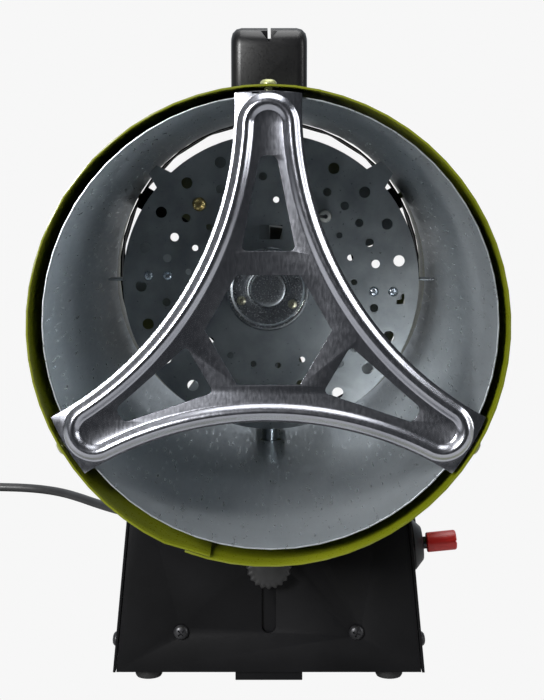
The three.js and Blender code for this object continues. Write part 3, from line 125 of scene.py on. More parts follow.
coil_radii = [
    (0, 0.0457), (120, COIL_OUTER), (300, COIL_OUTER), (420, COIL_INNER),
    (840, COIL_INNER), (960, COIL_OUTER), (LAST_TURN, COIL_OUTER),
]
coil_heights = [
    (0, 0), (600, 0), (720, 0.0061), (1050, 0.0061), (1160, 0.0122),
    (1400, 0.0122), (1510, 0.0183), (LAST_TURN, 0.0183),
]
for turn in range(0, LAST_TURN + 1, TURN_STEP):
    angle = math.radians(90 + turn)
    radius = between(turn, coil_radii)
    around = Vector((math.cos(angle), math.sin(angle), 0)) * radius
    height = Vector((0, 0, CORD_HEIGHT + between(turn, coil_heights)))
    cord_route.append(tuple(COIL_CENTRE + around + height))

cord_route.append((-0.301, 0.2170, 0.0203))
cord_route.append((-0.301, 0.2049, 0.0187))

cord_curve = bpy.data.curves.new("mains_lead", "CURVE")
cord_curve.dimensions = "3D"
cord_curve.bevel_depth = CORD_RADIUS
cord_curve.bevel_resolution = 4
cord_curve.resolution_u = 5
cord_curve.use_fill_caps = True
cord_spline = cord_curve.splines.new("BEZIER")
cord_spline.bezier_points.add(len(cord_route) - 1)
for point, place in zip(cord_spline.bezier_points, cord_route):
    point.co = place
    point.handle_left_type = "AUTO"
    point.handle_right_type = "AUTO"
mains_lead = bpy.data.objects.new("mains_lead", cord_curve)
bpy.context.collection.objects.link(mains_lead)


def new_finish(name, colours, patch_size, roughness, metallic=0.0, grain=(1, 1, 1), grain_size=0.001,
               bump=0.0, bump_height=0.0001, coat=0.0, specular=0.5):
    """A surface whose colour drifts between two colours in patches, with a fine grain in its
    gloss and its relief. Sizes are those of one patch or one grain, in metres."""
    material = bpy.data.materials.new(name)
    material.use_nodes = True
    tree = material.node_tree
    surface = tree.nodes["Principled BSDF"]
    surface.inputs["Metallic"].default_value = metallic
    surface.inputs["Coat Weight"].default_value = coat
    surface.inputs["Specular IOR Level"].default_value = specular
    place = tree.nodes.new("ShaderNodeTexCoord")

    patches = tree.nodes.new("ShaderNodeTexNoise")
    patches.inputs["Scale"].default_value = 1 / patch_size
    patches.inputs["Detail"].default_value = 5
    tree.links.new(place.outputs["Object"], patches.inputs["Vector"])
    colour = tree.nodes.new("ShaderNodeValToRGB")
    colour.name = "colour"
    colour.color_ramp.elements[0].position = 0.35
    colour.color_ramp.elements[1].position = 0.65
    colour.color_ramp.elements[0].color = (*colours[0], 1)
    colour.color_ramp.elements[1].color = (*colours[1], 1)
    tree.links.new(patches.outputs["Fac"], colour.inputs["Fac"])
    tree.links.new(colour.outputs["Color"], surface.inputs["Base Color"])

    stretch = tree.nodes.new("ShaderNodeMapping")
    stretch.inputs["Scale"].default_value = grain
    tree.links.new(place.outputs["Object"], stretch.inputs["Vector"])
    grains = tree.nodes.new("ShaderNodeTexNoise")
    grains.name = "grain"
    grains.inputs["Scale"].default_value = 1 / grain_size
    grains.inputs["Detail"].default_value = 3
    tree.links.new(stretch.outputs["Vector"], grains.inputs["Vector"])
    gloss = tree.nodes.new("ShaderNodeMapRange")
    gloss.inputs["From Min"].default_value = 0.3
    gloss.inputs["From Max"].default_value = 0.7
    gloss.inputs["To Min"].default_value = roughness[0]
    gloss.inputs["To Max"].default_value = roughness[1]
    tree.links.new(grains.outputs["Fac"], gloss.inputs["Value"])
    tree.links.new(gloss.outputs["Result"], surface.inputs["Roughness"])
    if bump:
        relief = tree.nodes.new("ShaderNodeBump")
        relief.inputs["Strength"].default_value = bump
        relief.inputs["Distance"].default_value = bump_height
        tree.links.new(grains.outputs["Fac"], relief.inputs["Height"])
        tree.links.new(relief.outputs["Normal"], surface.inputs["Normal"])
    return material


def only(piece):
    """Selects this piece alone and makes it the active one."""
    bpy.ops.object.select_all(action="DESELECT")
    piece.select_set(True)
    bpy.context.view_layer.objects.active = piece


def settle(piece, material, body, slot, *nodes, angle=32):
    """Gives a finished piece its material, smooth faces and its body, and hides the CAD nodes it stands
    for.
    """
    piece.data.materials.clear()
    piece.data.materials.append(material)
    if piece.type == "MESH":
        only(piece)
        bpy.ops.object.shade_smooth_by_angle(angle=math.radians(angle))
    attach(piece, body)
    if nodes:
        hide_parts(*nodes)
    return piece


def round_edges(piece, width, segments=2, angle=30):
    """Rounds a piece's sharp edges, as a tool, a press or a coat of powder leaves them."""
    only(piece)
    rounding = piece.modifiers.new("edges", "BEVEL")
    rounding.width = width
    rounding.segments = segments
    rounding.limit_method = "ANGLE"
    rounding.angle_limit = math.radians(angle)
    bpy.ops.object.modifier_apply(modifier=rounding.name)


def from_node(node, name, edge=0.0, segments=2):
    """A merged copy of a CAD solid, with its flat faces whole and its edges rounded."""
    piece = bpy.data.objects.new(name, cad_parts[node].data.copy())
    bpy.context.collection.objects.link(piece)
    only(piece)
    bpy.ops.object.mode_set(mode="EDIT")
    bpy.ops.mesh.select_all(action="SELECT")
    bpy.ops.mesh.remove_doubles(threshold=0.00001)
    bpy.ops.mesh.dissolve_limited(angle_limit=math.radians(0.5))
    bpy.ops.object.mode_set(mode="OBJECT")
    if edge:
        round_edges(piece, edge, segments)
    return piece


def lathe(name, profile, centre, axis=(0, 1, 0), steps=48):
    """A turned piece: the profile's points are (radius, distance along the axis from centre)."""
    along = Vector(axis).normalized()
    across = along.orthogonal().normalized()
    start = Vector(centre)
    mesh = bpy.data.meshes.new(name)
    points = [start + across * radius + along * distance for radius, distance in profile]
    mesh.from_pydata(points, [(i, i + 1) for i in range(len(points) - 1)], [])
    piece = bpy.data.objects.new(name, mesh)
    bpy.context.collection.objects.link(piece)
    only(piece)
    bpy.ops.object.mode_set(mode="EDIT")
    bpy.ops.mesh.select_all(action="SELECT")
    bpy.ops.mesh.spin(steps=steps, angle=2 * math.pi, center=start, axis=along)
    bpy.ops.mesh.select_all(action="SELECT")
    bpy.ops.mesh.remove_doubles(threshold=0.00001)
    bpy.ops.mesh.normals_make_consistent(inside=False)
    bpy.ops.object.mode_set(mode="OBJECT")
    return piece


cord_rubber = new_finish(
    "cord_rubber", [(0.010, 0.010, 0.011), (0.018, 0.018, 0.019)], 0.02, (0.38, 0.55),
    grain_size=0.0009, bump=0.15, bump_height=0.00005)
settle(mains_lead, cord_rubber, "heater", "cord_rubber", "mains_cord", "cord_coil")

# The plug is moulded onto the lead: a tapering tail, a round body and two pins.
plug = from_node("plug", "plug_body", 0.0007)
settle(plug, cord_rubber, "heater", "cord_rubber", "plug")


# -------------------------------------------------------------------------- outer shell
# The casing is one sheet of steel rolled into a tube, its ends lapped low on the left, and
# enamelled olive inside, outside and along its cut edges.
olive_enamel = new_finish(
    "olive_enamel", [(0.095, 0.108, 0.003), (0.125, 0.138, 0.005)], 0.05, (0.26, 0.36),
    grain_size=0.0012, bump=0.25, bump_height=0.00006, coat=0.35)
olive_enamel.node_tree.nodes["Principled BSDF"].inputs["Coat Roughness"].default_value = 0.12
outer_shell = from_node("outer_shell", "olive_shell", 0.00022)
settle(outer_shell, olive_enamel, "heater", "olive_paint", "outer_shell")


# -------------------------------------------------------------------------- inner liner
# A thinner galvanised tube hangs inside the shell with an air gap all round. Its zinc is
# bright, with a faint grain along the tube, drifting patches and small dark specks.
liner_zinc = new_finish(
    "liner_zinc", [(0.46, 0.50, 0.53), (0.58, 0.62, 0.65)], 0.09, (0.26, 0.40),
    metallic=0.80, grain=(1, 0.10, 1), grain_size=0.0016, bump=0.03, bump_height=0.00004)


def add_specks(material, size, share, dark):
    """Scatters small dark specks of dross over a zinc surface."""
    tree = material.node_tree
    colour = tree.nodes["colour"]
    surface = tree.nodes["Principled BSDF"]
    place = tree.nodes.new("ShaderNodeTexCoord")
    cells = tree.nodes.new("ShaderNodeTexNoise")
    cells.inputs["Scale"].default_value = 1 / size
    cells.inputs["Detail"].default_value = 2
    tree.links.new(place.outputs["Object"], cells.inputs["Vector"])
    specks = tree.nodes.new("ShaderNodeValToRGB")
    specks.color_ramp.elements[0].position = 1 - share
    specks.color_ramp.elements[1].position = 1 - share + 0.03
    specks.color_ramp.elements[0].color = (1, 1, 1, 1)
    specks.color_ramp.elements[1].color = (dark, dark, dark, 1)
    tree.links.new(cells.outputs["Fac"], specks.inputs["Fac"])
    dirty = tree.nodes.new("ShaderNodeMix")
    dirty.data_type = "RGBA"
    dirty.blend_type = "MULTIPLY"
    dirty.inputs["Factor"].default_value = 1
    tree.links.new(colour.outputs["Color"], dirty.inputs["A"])
    tree.links.new(specks.outputs["Color"], dirty.inputs["B"])
    tree.links.new(dirty.outputs["Result"], surface.inputs["Base Color"])


add_specks(liner_zinc, 0.0020, 0.30, 0.40)
inner_liner = from_node("inner_liner", "zinc_liner", 0.00015)
settle(inner_liner, liner_zinc, "heater", "galvanised", "inner_liner")


# ------------------------------------------------------------------------- outlet guard
# Three arms pressed from one bright steel sheet. A rounded bead runs round the whole
# star to stiffen it, windows lighten it, and a tab at each arm's end is screwed to the shell.
GUARD_SHEET = 0.0010
GUARD_FRONT = OUTLET_Y + 0.0005
BEAD_HEIGHT = 0.0023
BEAD_HALF = 0.0037
BEAD_STEPS = 16
BEAD_FULLNESS = 0.72
SIDE_POINTS = 24
END_POINTS = 12
ARM_REACH = 0.0925
ARM_HALF = 0.0130
WAIST = 0.0363
BEAD_INSET = 0.0043
BEAD_END = 0.0796
HEXAGON = 0.0249
TAB_DEPTH = 0.0140
EDGE_STEPS = 48
END_STEPS = 8
WINDOW_BASE = 0.031
WINDOW_BASE_HALF = 0.0106
WINDOW_TIP = 0.0678
WINDOW_TIP_HALF = 0.0032
WINDOW_ROUNDING = 0.0026
WINDOW_CORNER_STEPS = 6
ARM_ANGLES = [90, 210, 330]

corner_turn = math.asin(ARM_HALF / ARM_REACH)
corner_along = ARM_REACH * math.cos(math.radians(60) - corner_turn)
hollow_centre = (ARM_REACH ** 2 - WAIST ** 2) / (2 * (corner_along - WAIST))
hollow_radius = hollow_centre - WAIST
hollow_sweep = math.asin(ARM_REACH * math.sin(math.radians(60) - corner_turn) / hollow_radius)


def turned_by(point, degrees):
    turn = math.radians(degrees)
    x, z = point
    return (x * math.cos(turn) - z * math.sin(turn), x * math.sin(turn) + z * math.cos(turn))


def guard_outline():
    """The star's edge: a short arc at each arm's end and a hollow arc between two arms."""
    points = []
    for arm in ARM_ANGLES:
        for i in range(END_STEPS + 1):
            turn = math.radians(90) - corner_turn + 2 * corner_turn * i / END_STEPS
            points.append(turned_by((ARM_REACH * math.cos(turn), ARM_REACH * math.sin(turn)), arm - 90))
        middle = (hollow_centre * math.cos(math.radians(arm + 60)),
                  hollow_centre * math.sin(math.radians(arm + 60)))
        for i in range(1, EDGE_STEPS):
            turn = math.radians(arm + 240) + hollow_sweep * (1 - 2 * i / EDGE_STEPS)
            points.append((middle[0] + hollow_radius * math.cos(turn),
                           middle[1] + hollow_radius * math.sin(turn)))
    return points


def bead_loop(offset):
    """A line beside the bead's middle, offset towards the star's edge."""
    centre_x = hollow_centre * math.cos(math.radians(30))
    centre_z = hollow_centre * math.sin(math.radians(30))
    side_radius = hollow_radius + BEAD_INSET
    end_radius = math.hypot(centre_x, BEAD_END - centre_z) - side_radius
    side_angle = math.atan2(BEAD_END - centre_z, centre_x)
    half = []
    for i in range(SIDE_POINTS):
        turn = -math.radians(30) + (side_angle + math.radians(30)) * i / SIDE_POINTS
        half.append((centre_x - (side_radius - offset) * math.cos(turn),
                     centre_z + (side_radius - offset) * math.sin(turn)))
    reach = end_radius + offset
    for i in range(END_POINTS + 1):
        turn = -side_angle + (math.radians(90) + side_angle) * i / END_POINTS
        half.append((reach * math.cos(turn), BEAD_END + reach * math.sin(turn)))
    arm_line = half + [(-x, z) for x, z in reversed(half[1:-1])]
    return [turned_by(point, arm - 90) for arm in ARM_ANGLES for point in arm_line]


def window_outline(arm):
    """A rounded triangle along an arm, its narrow end outwards."""
    corners = [(-WINDOW_BASE_HALF, WINDOW_BASE), (WINDOW_BASE_HALF, WINDOW_BASE),
               (WINDOW_TIP_HALF, WINDOW_TIP), (-WINDOW_TIP_HALF, WINDOW_TIP)]
    points = []
    for i, corner in enumerate(corners):
        here = Vector(corner)
        before = here + (Vector(corners[i - 1]) - here).normalized() * WINDOW_ROUNDING
        after = here + (Vector(corners[(i + 1) % 4]) - here).normalized() * WINDOW_ROUNDING
        for step in range(WINDOW_CORNER_STEPS + 1):
            share = step / WINDOW_CORNER_STEPS
            point = before * (1 - share) ** 2 + here * 2 * share * (1 - share) + after * share ** 2
            points.append(turned_by(tuple(point), arm - 90))
    return points


def flat_sheet(name, outlines, place_y):
    """A flat sheet facing -Y inside the first outline, with the others as its holes."""
    curve = bpy.data.curves.new(name, "CURVE")
    curve.dimensions = "2D"
    curve.fill_mode = "BOTH"
    for outline in outlines:
        spline = curve.splines.new("POLY")
        spline.points.add(len(outline) - 1)
        spline.use_cyclic_u = True
        for point, (x, z) in zip(spline.points, outline):
            point.co = (x, z, 0, 1)
    sheet = bpy.data.objects.new(name, curve)
    bpy.context.collection.objects.link(sheet)
    only(sheet)
    bpy.ops.object.convert(target="MESH")
    sheet = bpy.context.object
    sheet.data.transform(Matrix.Rotation(math.radians(90), 4, "X"))
    sheet.data.transform(Matrix.Translation((0, place_y, AXIS_Z)))
    return sheet


def bead_strip(place_y):
    """The pressed bead: rings of points from its inner foot, over its crown, to its outer foot."""
    rings = []
    for i in range(BEAD_STEPS + 1):
        offset = -BEAD_HALF + 2 * BEAD_HALF * i / BEAD_STEPS
        share = abs(offset) / BEAD_HALF
        height = BEAD_HEIGHT * (0.5 + 0.5 * math.cos(math.pi * share)) ** BEAD_FULLNESS
        rings.append([Vector((x, place_y - height, AXIS_Z + z)) for x, z in bead_loop(offset)])
    count = len(rings[0])
    points = [point for ring in rings for point in ring]
    faces = []
    for i in range(BEAD_STEPS):
        for j in range(count):
            after = (j + 1) % count
            faces.append((i * count + j, (i + 1) * count + j, (i + 1) * count + after, i * count + after))
    mesh = bpy.data.meshes.new("bead")
    mesh.from_pydata(points, [], faces)
    strip = bpy.data.objects.new("bead", mesh)
    bpy.context.collection.objects.link(strip)
    return strip


hexagon = [turned_by((HEXAGON, 0), 60 * i) for i in range(6)]
windows = [window_outline(arm) for arm in ARM_ANGLES]
guard_edge = flat_sheet("guard_edge", [guard_outline(), bead_loop(BEAD_HALF)], GUARD_FRONT)
guard_web = flat_sheet("guard_web", [bead_loop(-BEAD_HALF), hexagon, *windows], GUARD_FRONT)
guard = bead_strip(GUARD_FRONT)
guard.name = "star_guard"
bpy.ops.object.select_all(action="DESELECT")
for part in (guard_edge, guard_web, guard):
    part.select_set(True)
bpy.context.view_layer.objects.active = guard
bpy.ops.object.join()
bpy.ops.object.mode_set(mode="EDIT")
bpy.ops.mesh.select_all(action="SELECT")
bpy.ops.mesh.remove_doubles(threshold=0.00002)
bpy.ops.mesh.normals_make_consistent(inside=False)
bpy.ops.mesh.select_all(action="DESELECT")
bpy.ops.object.mode_set(mode="OBJECT")
if sum(face.normal.y * face.area for face in guard.data.polygons) > 0:
    guard.data.flip_normals()
for edge in guard.data.edges:
    ends = [guard.data.vertices[i].co for i in edge.vertices]
    edge.select = all(abs(math.hypot(end.x, end.z - AXIS_Z) - ARM_REACH) < 0.00005 for end in ends)
bpy.ops.object.mode_set(mode="EDIT")
bpy.ops.mesh.select_mode(type="EDGE")
bpy.ops.mesh.extrude_region_move(TRANSFORM_OT_translate={"value": (0, TAB_DEPTH, 0)})
bpy.ops.mesh.select_all(action="SELECT")
bpy.ops.mesh.normals_make_consistent(inside=False)
bpy.ops.object.mode_set(mode="OBJECT")
if sum(face.normal.y * face.area for face in guard.data.polygons) > 0:
    guard.data.flip_normals()
for face in guard.data.polygons:
    outward = Vector((face.center.x, 0, face.center.z - AXIS_Z))
    if face.center.y > GUARD_FRONT + TAB_DEPTH / 4 and face.normal.dot(outward) < 0:
        face.flip()
only(guard)
thickness = guard.modifiers.new("sheet", "SOLIDIFY")
thickness.thickness = GUARD_SHEET
thickness.offset = -1
bpy.ops.object.modifier_apply(modifier=thickness.name)
round_edges(guard, 0.00016, 2, 50)

guard_steel = new_finish(
    "guard_steel", [(0.40, 0.41, 0.46), (0.50, 0.51, 0.56)], 0.035, (0.20, 0.27),
    metallic=1.0, grain=(1, 1, 0.3), grain_size=0.0009, bump=0.04, bump_height=0.00003)
add_specks(guard_steel, 0.0012, 0.28, 0.75)
settle(guard, guard_steel, "heater", "bright_guard", "outlet_guard")


# ---------------------------------------------------------------------------- screws
# Pan-head self-tapping screws hold the sheets together. Each has a domed head with a cross
# recess and a plain shank, and sits straight on the sheet that it holds.
SCREW_HEAD = 0.0034
HEAD_HEIGHT = 0.0019
RECESS = (0.0036, 0.0007, 0.0022)


def screw_model():
    """One screw at the origin, its head towards +Z and its seat at the origin."""
    screw = lathe("screw_model", [
        (0, HEAD_HEIGHT), (0.0011, 0.00186), (0.0022, 0.0016), (0.0029, 0.0011), (0.0033, 0.0005),
        (SCREW_HEAD, 0), (0.0019, 0), (0.0019, -0.0045), (0, -0.0045),
    ], (0, 0, 0), (0, 0, 1), 32)
    for turn in (0, 90):
        bpy.ops.mesh.primitive_cube_add(size=1, location=(0, 0, HEAD_HEIGHT))
        blade = bpy.context.object
        blade.scale = RECESS
        blade.rotation_euler = (0, 0, math.radians(turn))
        bpy.ops.object.transform_apply(location=True, rotation=True, scale=True)
        only(screw)
        recess = screw.modifiers.new("recess", "BOOLEAN")
        recess.operation = "DIFFERENCE"
        recess.object = blade
        bpy.ops.object.modifier_apply(modifier=recess.name)
        bpy.data.objects.remove(blade)
    return screw


screw_master = screw_model()


def head_top(node, outward):
    """The middle of the top of a screw's head, found from its solid."""
    low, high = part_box(node)
    middle = (low + high) / 2
    reach = max(vertex.co.dot(outward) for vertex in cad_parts[node].data.vertices)
    return middle + outward * (reach - middle.dot(outward))


def add_screw(node, name, outward, head_radius, material, slot, turn=20):
    """Copies the screw to a node's place, facing outward and turned as it was driven."""
    outward = Vector(outward).normalized()
    scale = head_radius / SCREW_HEAD
    screw = bpy.data.objects.new(name, screw_master.data.copy())
    bpy.context.collection.objects.link(screw)
    reaches = [vertex.co.dot(outward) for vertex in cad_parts[node].data.vertices]
    shank = (max(reaches) - min(reaches)) / scale - HEAD_HEIGHT
    for vertex in screw.data.vertices:
        if vertex.co.z < -0.001:
            vertex.co.z = -shank
    seat = head_top(node, outward) - outward * HEAD_HEIGHT * scale
    aim = outward.to_track_quat("Z", "Y").to_matrix().to_4x4()
    place = Matrix.Translation(seat) @ aim @ Matrix.Rotation(math.radians(turn), 4, "Z")
    screw.data.transform(place @ Matrix.Scale(scale, 4))
    return settle(screw, material, "heater", slot, node, angle=40)


zinc_screw = new_finish(
    "zinc_screw", [(0.45, 0.50, 0.56), (0.60, 0.64, 0.68)], 0.002, (0.18, 0.34), metallic=1.0,
    grain_size=0.0004, bump=0.15, bump_height=0.00003)
black_screw = new_finish(
    "black_screw", [(0.020, 0.020, 0.022), (0.040, 0.040, 0.043)], 0.003, (0.28, 0.42), metallic=0.6,
    grain_size=0.0004, bump=0.15, bump_height=0.00003)
painted_screw = new_finish(
    "painted_screw", [(0.24, 0.25, 0.09), (0.34, 0.35, 0.20)], 0.003, (0.25, 0.40), metallic=0.5,
    grain_size=0.0005, bump=0.15, bump_height=0.00003)

CASE_HEAD = 0.0033
for i, arm in enumerate(ARM_ANGLES):
    outward = (math.cos(math.radians(arm)), 0, math.sin(math.radians(arm)))
    add_screw(f"guard_screw_{i + 1}", f"guard_fixing_{i + 1}", outward, CASE_HEAD, painted_screw,
              "painted_screws")
for i, arm in enumerate([30, 150, 270]):
    outward = (math.cos(math.radians(arm)), 0, math.sin(math.radians(arm)))
    add_screw(f"rear_screw_{i + 1}", f"rear_fixing_{i + 1}", outward, CASE_HEAD, painted_screw,
              "painted_screws")


# ------------------------------------------------------------------------- baffle disc
# A flat galvanised disc, punched with three rings of holes that grow towards its edge. It
# hangs inside the liner on two tabs and two thin straps, with the burner cup in its middle.
BAFFLE_SHEET = 0.0008
BAFFLE_RADIUS = 0.0806
baffle_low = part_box("baffle_disc")[0]
liner_low, liner_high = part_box("inner_liner")
liner_x = (liner_low.x + liner_high.x) / 2
liner_z = (liner_low.z + liner_high.z) / 2
HOLE_RINGS = [(21, 0.00306, 0.0098, 9.9), (30, 0.0023, 0.0226, 10.4), (21, 0.00165, 0.0352, 0.7)]
STRAP_SCREWS = [(-0.0562, 0.0041), (-0.0666, 0.0041), (0.0562, -0.0046), (0.0666, -0.0046)]
ELECTRODE_AT = (0.0292, 0.0366)
THERMOCOUPLE_AT = (-0.0388, 0.0428)
HOLE_SPACING = 0.0065
SLOT_ANGLE = -7
BAFFLE_TABS = (44.5, 136)
TAB_REACH = 0.0888
TAB_HALF_ANGLE = 4
JET_HOLE = 0.0053
ELECTRODE_HOLE = 0.0037
THERMOCOUPLE_HOLE = 0.0039
SCREW_HOLE = 0.0017
SIGHT_HALF_WIDTH = 0.0063
SIGHT_BOTTOM = 0.0239
SIGHT_TOP = 0.0316


def ring_of(centre, radius, sides=28):
    return [(centre[0] + radius * math.cos(2 * math.pi * i / sides),
             centre[1] + radius * math.sin(2 * math.pi * i / sides)) for i in range(sides)]


def baffle_holes():
    """The rings of round holes, but for those whose place another fitting takes."""
    slot = turned_by((BAFFLE_RADIUS - HOLE_RINGS[0][2], 0), SLOT_ANGLE)
    taken = [ELECTRODE_AT, THERMOCOUPLE_AT, slot, *STRAP_SCREWS]
    holes = []
    for count, radius, inset, first in HOLE_RINGS:
        for i in range(count):
            turn = math.radians(first + 360 * i / count)
            place = ((BAFFLE_RADIUS - inset) * math.cos(turn), (BAFFLE_RADIUS - inset) * math.sin(turn))
            if all(math.dist(place, other) > HOLE_SPACING for other in taken):
                holes.append(ring_of(place, radius))
    corners = [(-1.6, -2.8), (2.6, -2.8), (2.6, 2.8), (0.4, 2.8), (0.4, -0.4), (-1.6, -0.4)]
    holes.append([(slot[0] + x * 0.001, slot[1] + z * 0.001) for x, z in corners])
    return holes


def baffle_edge():
    """The disc's edge, with the two short tabs that reach the liner."""
    points = []
    for degree in range(0, 360, 2):
        reach = BAFFLE_RADIUS
        for tab in BAFFLE_TABS:
            if abs(degree - tab) < TAB_HALF_ANGLE:
                reach = TAB_REACH
        points.append((reach * math.cos(math.radians(degree)), reach * math.sin(math.radians(degree))))
    return points


baffle_outlines = [
    baffle_edge(), *baffle_holes(), ring_of((0, 0), JET_HOLE),
    [(-SIGHT_HALF_WIDTH, SIGHT_BOTTOM), (SIGHT_HALF_WIDTH, SIGHT_BOTTOM),
     (SIGHT_HALF_WIDTH, SIGHT_TOP), (-SIGHT_HALF_WIDTH, SIGHT_TOP)],
    ring_of(ELECTRODE_AT, ELECTRODE_HOLE), ring_of(THERMOCOUPLE_AT, THERMOCOUPLE_HOLE),
    *[ring_of(place, SCREW_HOLE) for place in STRAP_SCREWS],
]
baffle = flat_sheet("punched_baffle", baffle_outlines, baffle_low.y)
baffle.data.transform(Matrix.Translation((liner_x, 0, liner_z - AXIS_Z)))
only(baffle)
bpy.ops.object.mode_set(mode="EDIT")
bpy.ops.mesh.select_all(action="SELECT")
bpy.ops.mesh.remove_doubles(threshold=0.00001)
bpy.ops.object.mode_set(mode="OBJECT")
if sum(face.normal.y * face.area for face in baffle.data.polygons) > 0:
    baffle.data.flip_normals()
thickness = baffle.modifiers.new("sheet", "SOLIDIFY")
thickness.thickness = BAFFLE_SHEET
thickness.offset = -1
bpy.ops.object.modifier_apply(modifier=thickness.name)
round_edges(baffle, 0.00012, 1, 50)
baffle_zinc = new_finish(
    "baffle_zinc", [(0.26, 0.28, 0.29), (0.40, 0.42, 0.43)], 0.022, (0.34, 0.52),
    metallic=0.85, grain_size=0.0016, bump=0.25, bump_height=0.00006)
add_specks(baffle_zinc, 0.0022, 0.32, 0.55)
settle(baffle, baffle_zinc, "heater", "galvanised", "baffle_disc")

for side in ("left", "right"):
    strap = from_node(f"strap_{side}", f"{side}_strap", 0.0002)
    settle(strap, baffle_zinc, "heater", "galvanised", f"strap_{side}")
    for i in (1, 2):
        node = f"strap_screw_{side}_{i}"
        add_screw(node, f"{side}_strap_fixing_{i}", (0, -1, 0), 0.0027, zinc_screw, "zinc_steel", 35 * i)


# --------------------------------------------------------------------------- burner cup
# The burner's face is a cup spun from bright sheet: a raised boss, a groove, a flat ring and
# a rolled rim. Three small screws fix it, and the brass jet block stands behind it.
cup_low, cup_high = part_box("burner_cup")
cup_middle = ((cup_low.x + cup_high.x) / 2, cup_low.y, (cup_low.z + cup_high.z) / 2)
cup = lathe("spun_cup", [
    (0, 0.0006), (0.0050, 0.0006), (0.0082, 0.0006), (0.0092, 0.0009), (0.0097, 0.0016),
    (0.0103, 0.0020), (0.0110, 0.0018), (0.0116, 0.0010), (0.0124, 0.0008), (0.0186, 0.0008),
    (0.0195, 0.0002), (0.0204, 0), (0.0214, 0.0002), (0.0221, 0.0009), (0.0223, 0.0022),
    (0.0219, 0.0034), (0.0206, 0.0044), (0.0203, 0.0060), (0.0203, 0.0220), (0.0193, 0.0220),
    (0.0193, 0.0042), (0, 0.0042),
], cup_middle, (0, 1, 0), 96)
cup_steel = new_finish(
    "cup_steel", [(0.48, 0.49, 0.50), (0.64, 0.65, 0.66)], 0.014, (0.16, 0.30),
    metallic=1.0, grain_size=0.0008, bump=0.15, bump_height=0.00004)
settle(cup, cup_steel, "heater", "galvanised", "burner_cup")
brassy_screw = new_finish(
    "brassy_screw", [(0.50, 0.46, 0.32), (0.62, 0.57, 0.42)], 0.002, (0.20, 0.34), metallic=1.0,
    grain_size=0.0004, bump=0.15, bump_height=0.00003)
for i in (1, 2, 3):
    add_screw(f"cup_screw_{i}", f"cup_fixing_{i}", (0, -1, 0), 0.0025, brassy_screw, "zinc_steel", 25 * i)

brass = new_finish(
    "turned_brass", [(0.46, 0.33, 0.12), (0.60, 0.45, 0.19)], 0.008, (0.22, 0.36), metallic=1.0,
    grain_size=0.0005, bump=0.12, bump_height=0.00003)
jet_block = from_node("jet_block", "brass_jet", 0.0004)
settle(jet_block, brass, "heater", "brass", "jet_block")
pipe_steel = new_finish(
    "pipe_steel", [(0.55, 0.57, 0.59), (0.68, 0.70, 0.72)], 0.02, (0.12, 0.24), metallic=1.0,
    grain=(1, 1, 0.2), grain_size=0.0008, bump=0.12, bump_height=0.00003)
gas_pipe = from_node("gas_pipe", "feed_pipe")
settle(gas_pipe, pipe_steel, "heater", "zinc_steel", "gas_pipe", angle=60)


# -------------------------------------------------------------- electrode and thermocouple
# A white ceramic holds the spark rod, which leans towards the burner. The thermocouple's
# tip stands in a brass ring on the other side.
ceramic = new_finish(
    "glazed_ceramic", [(0.76, 0.74, 0.68), (0.84, 0.82, 0.76)], 0.006, (0.16, 0.26),
    grain_size=0.0006, bump=0.08, bump_height=0.00003, coat=0.4)
low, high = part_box("spark_electrode")
electrode = lathe("ceramic_tube", [
    (0, 0), (0.0020, 0), (0.0028, 0.0004), (0.0033, 0.0014), (0.0034, 0.0024),
    (0.0034, high.y - low.y), (0, high.y - low.y),
], ((low.x + high.x) / 2, low.y, (low.z + high.z) / 2), (0, 1, 0), 36)
settle(electrode, ceramic, "heater", "white_ceramic", "spark_electrode")
sooted_steel = new_finish(
    "sooted_steel", [(0.05, 0.05, 0.05), (0.14, 0.13, 0.12)], 0.003, (0.40, 0.60), metallic=0.8,
    grain_size=0.0005, bump=0.2, bump_height=0.00004)
spark_rod = from_node("spark_rod", "ignition_rod")
settle(spark_rod, sooted_steel, "heater", "zinc_steel", "spark_rod", angle=60)
low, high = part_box("thermocouple")
sensor = lathe("flame_sensor", [
    (0, 0), (0.0010, 0.0001), (0.0015, 0.0008), (0.0015, 0.0058), (0.0026, 0.0062), (0.0034, 0.0068),
    (0.0036, 0.0076), (0.0036, high.y - low.y), (0, high.y - low.y),
], ((low.x + high.x) / 2, low.y, (low.z + high.z) / 2), (0, 1, 0), 36)
settle(sensor, brass, "heater", "brass", "thermocouple")


# ------------------------------------------------------------------ fan, motor, rear guard
# A pressed fan on the motor's shaft draws air in through the slotted guard, which is black
# like the base and carries the motor on its middle.
black_powder = new_finish(
    "black_powder", [(0.0022, 0.0022, 0.0026), (0.0042, 0.0042, 0.0048)], 0.03, (0.34, 0.46),
    grain_size=0.0007, bump=0.35, bump_height=0.00005, specular=0.16)
fan_metal = new_finish(
    "fan_metal", [(0.42, 0.44, 0.45), (0.55, 0.57, 0.58)], 0.02, (0.28, 0.42), metallic=0.95,
    grain_size=0.0009, bump=0.15, bump_height=0.00004)
settle(from_node("fan", "pressed_fan", 0.0003), fan_metal, "rotor", "galvanised", "fan")
settle(from_node("motor_shaft", "ground_shaft", 0.0002), pipe_steel, "rotor", "zinc_steel", "motor_shaft")
motor_enamel = new_finish(
    "motor_enamel", [(0.018, 0.018, 0.020), (0.032, 0.032, 0.035)], 0.02, (0.32, 0.46), metallic=0.2,
    grain_size=0.0008, bump=0.2, bump_height=0.00005)
settle(from_node("fan_motor", "motor_can", 0.0006), motor_enamel, "heater", "motor_enamel", "fan_motor")
settle(from_node("rear_guard", "slotted_guard", 0.0002), black_powder, "heater", "black_powder",
       "rear_guard")


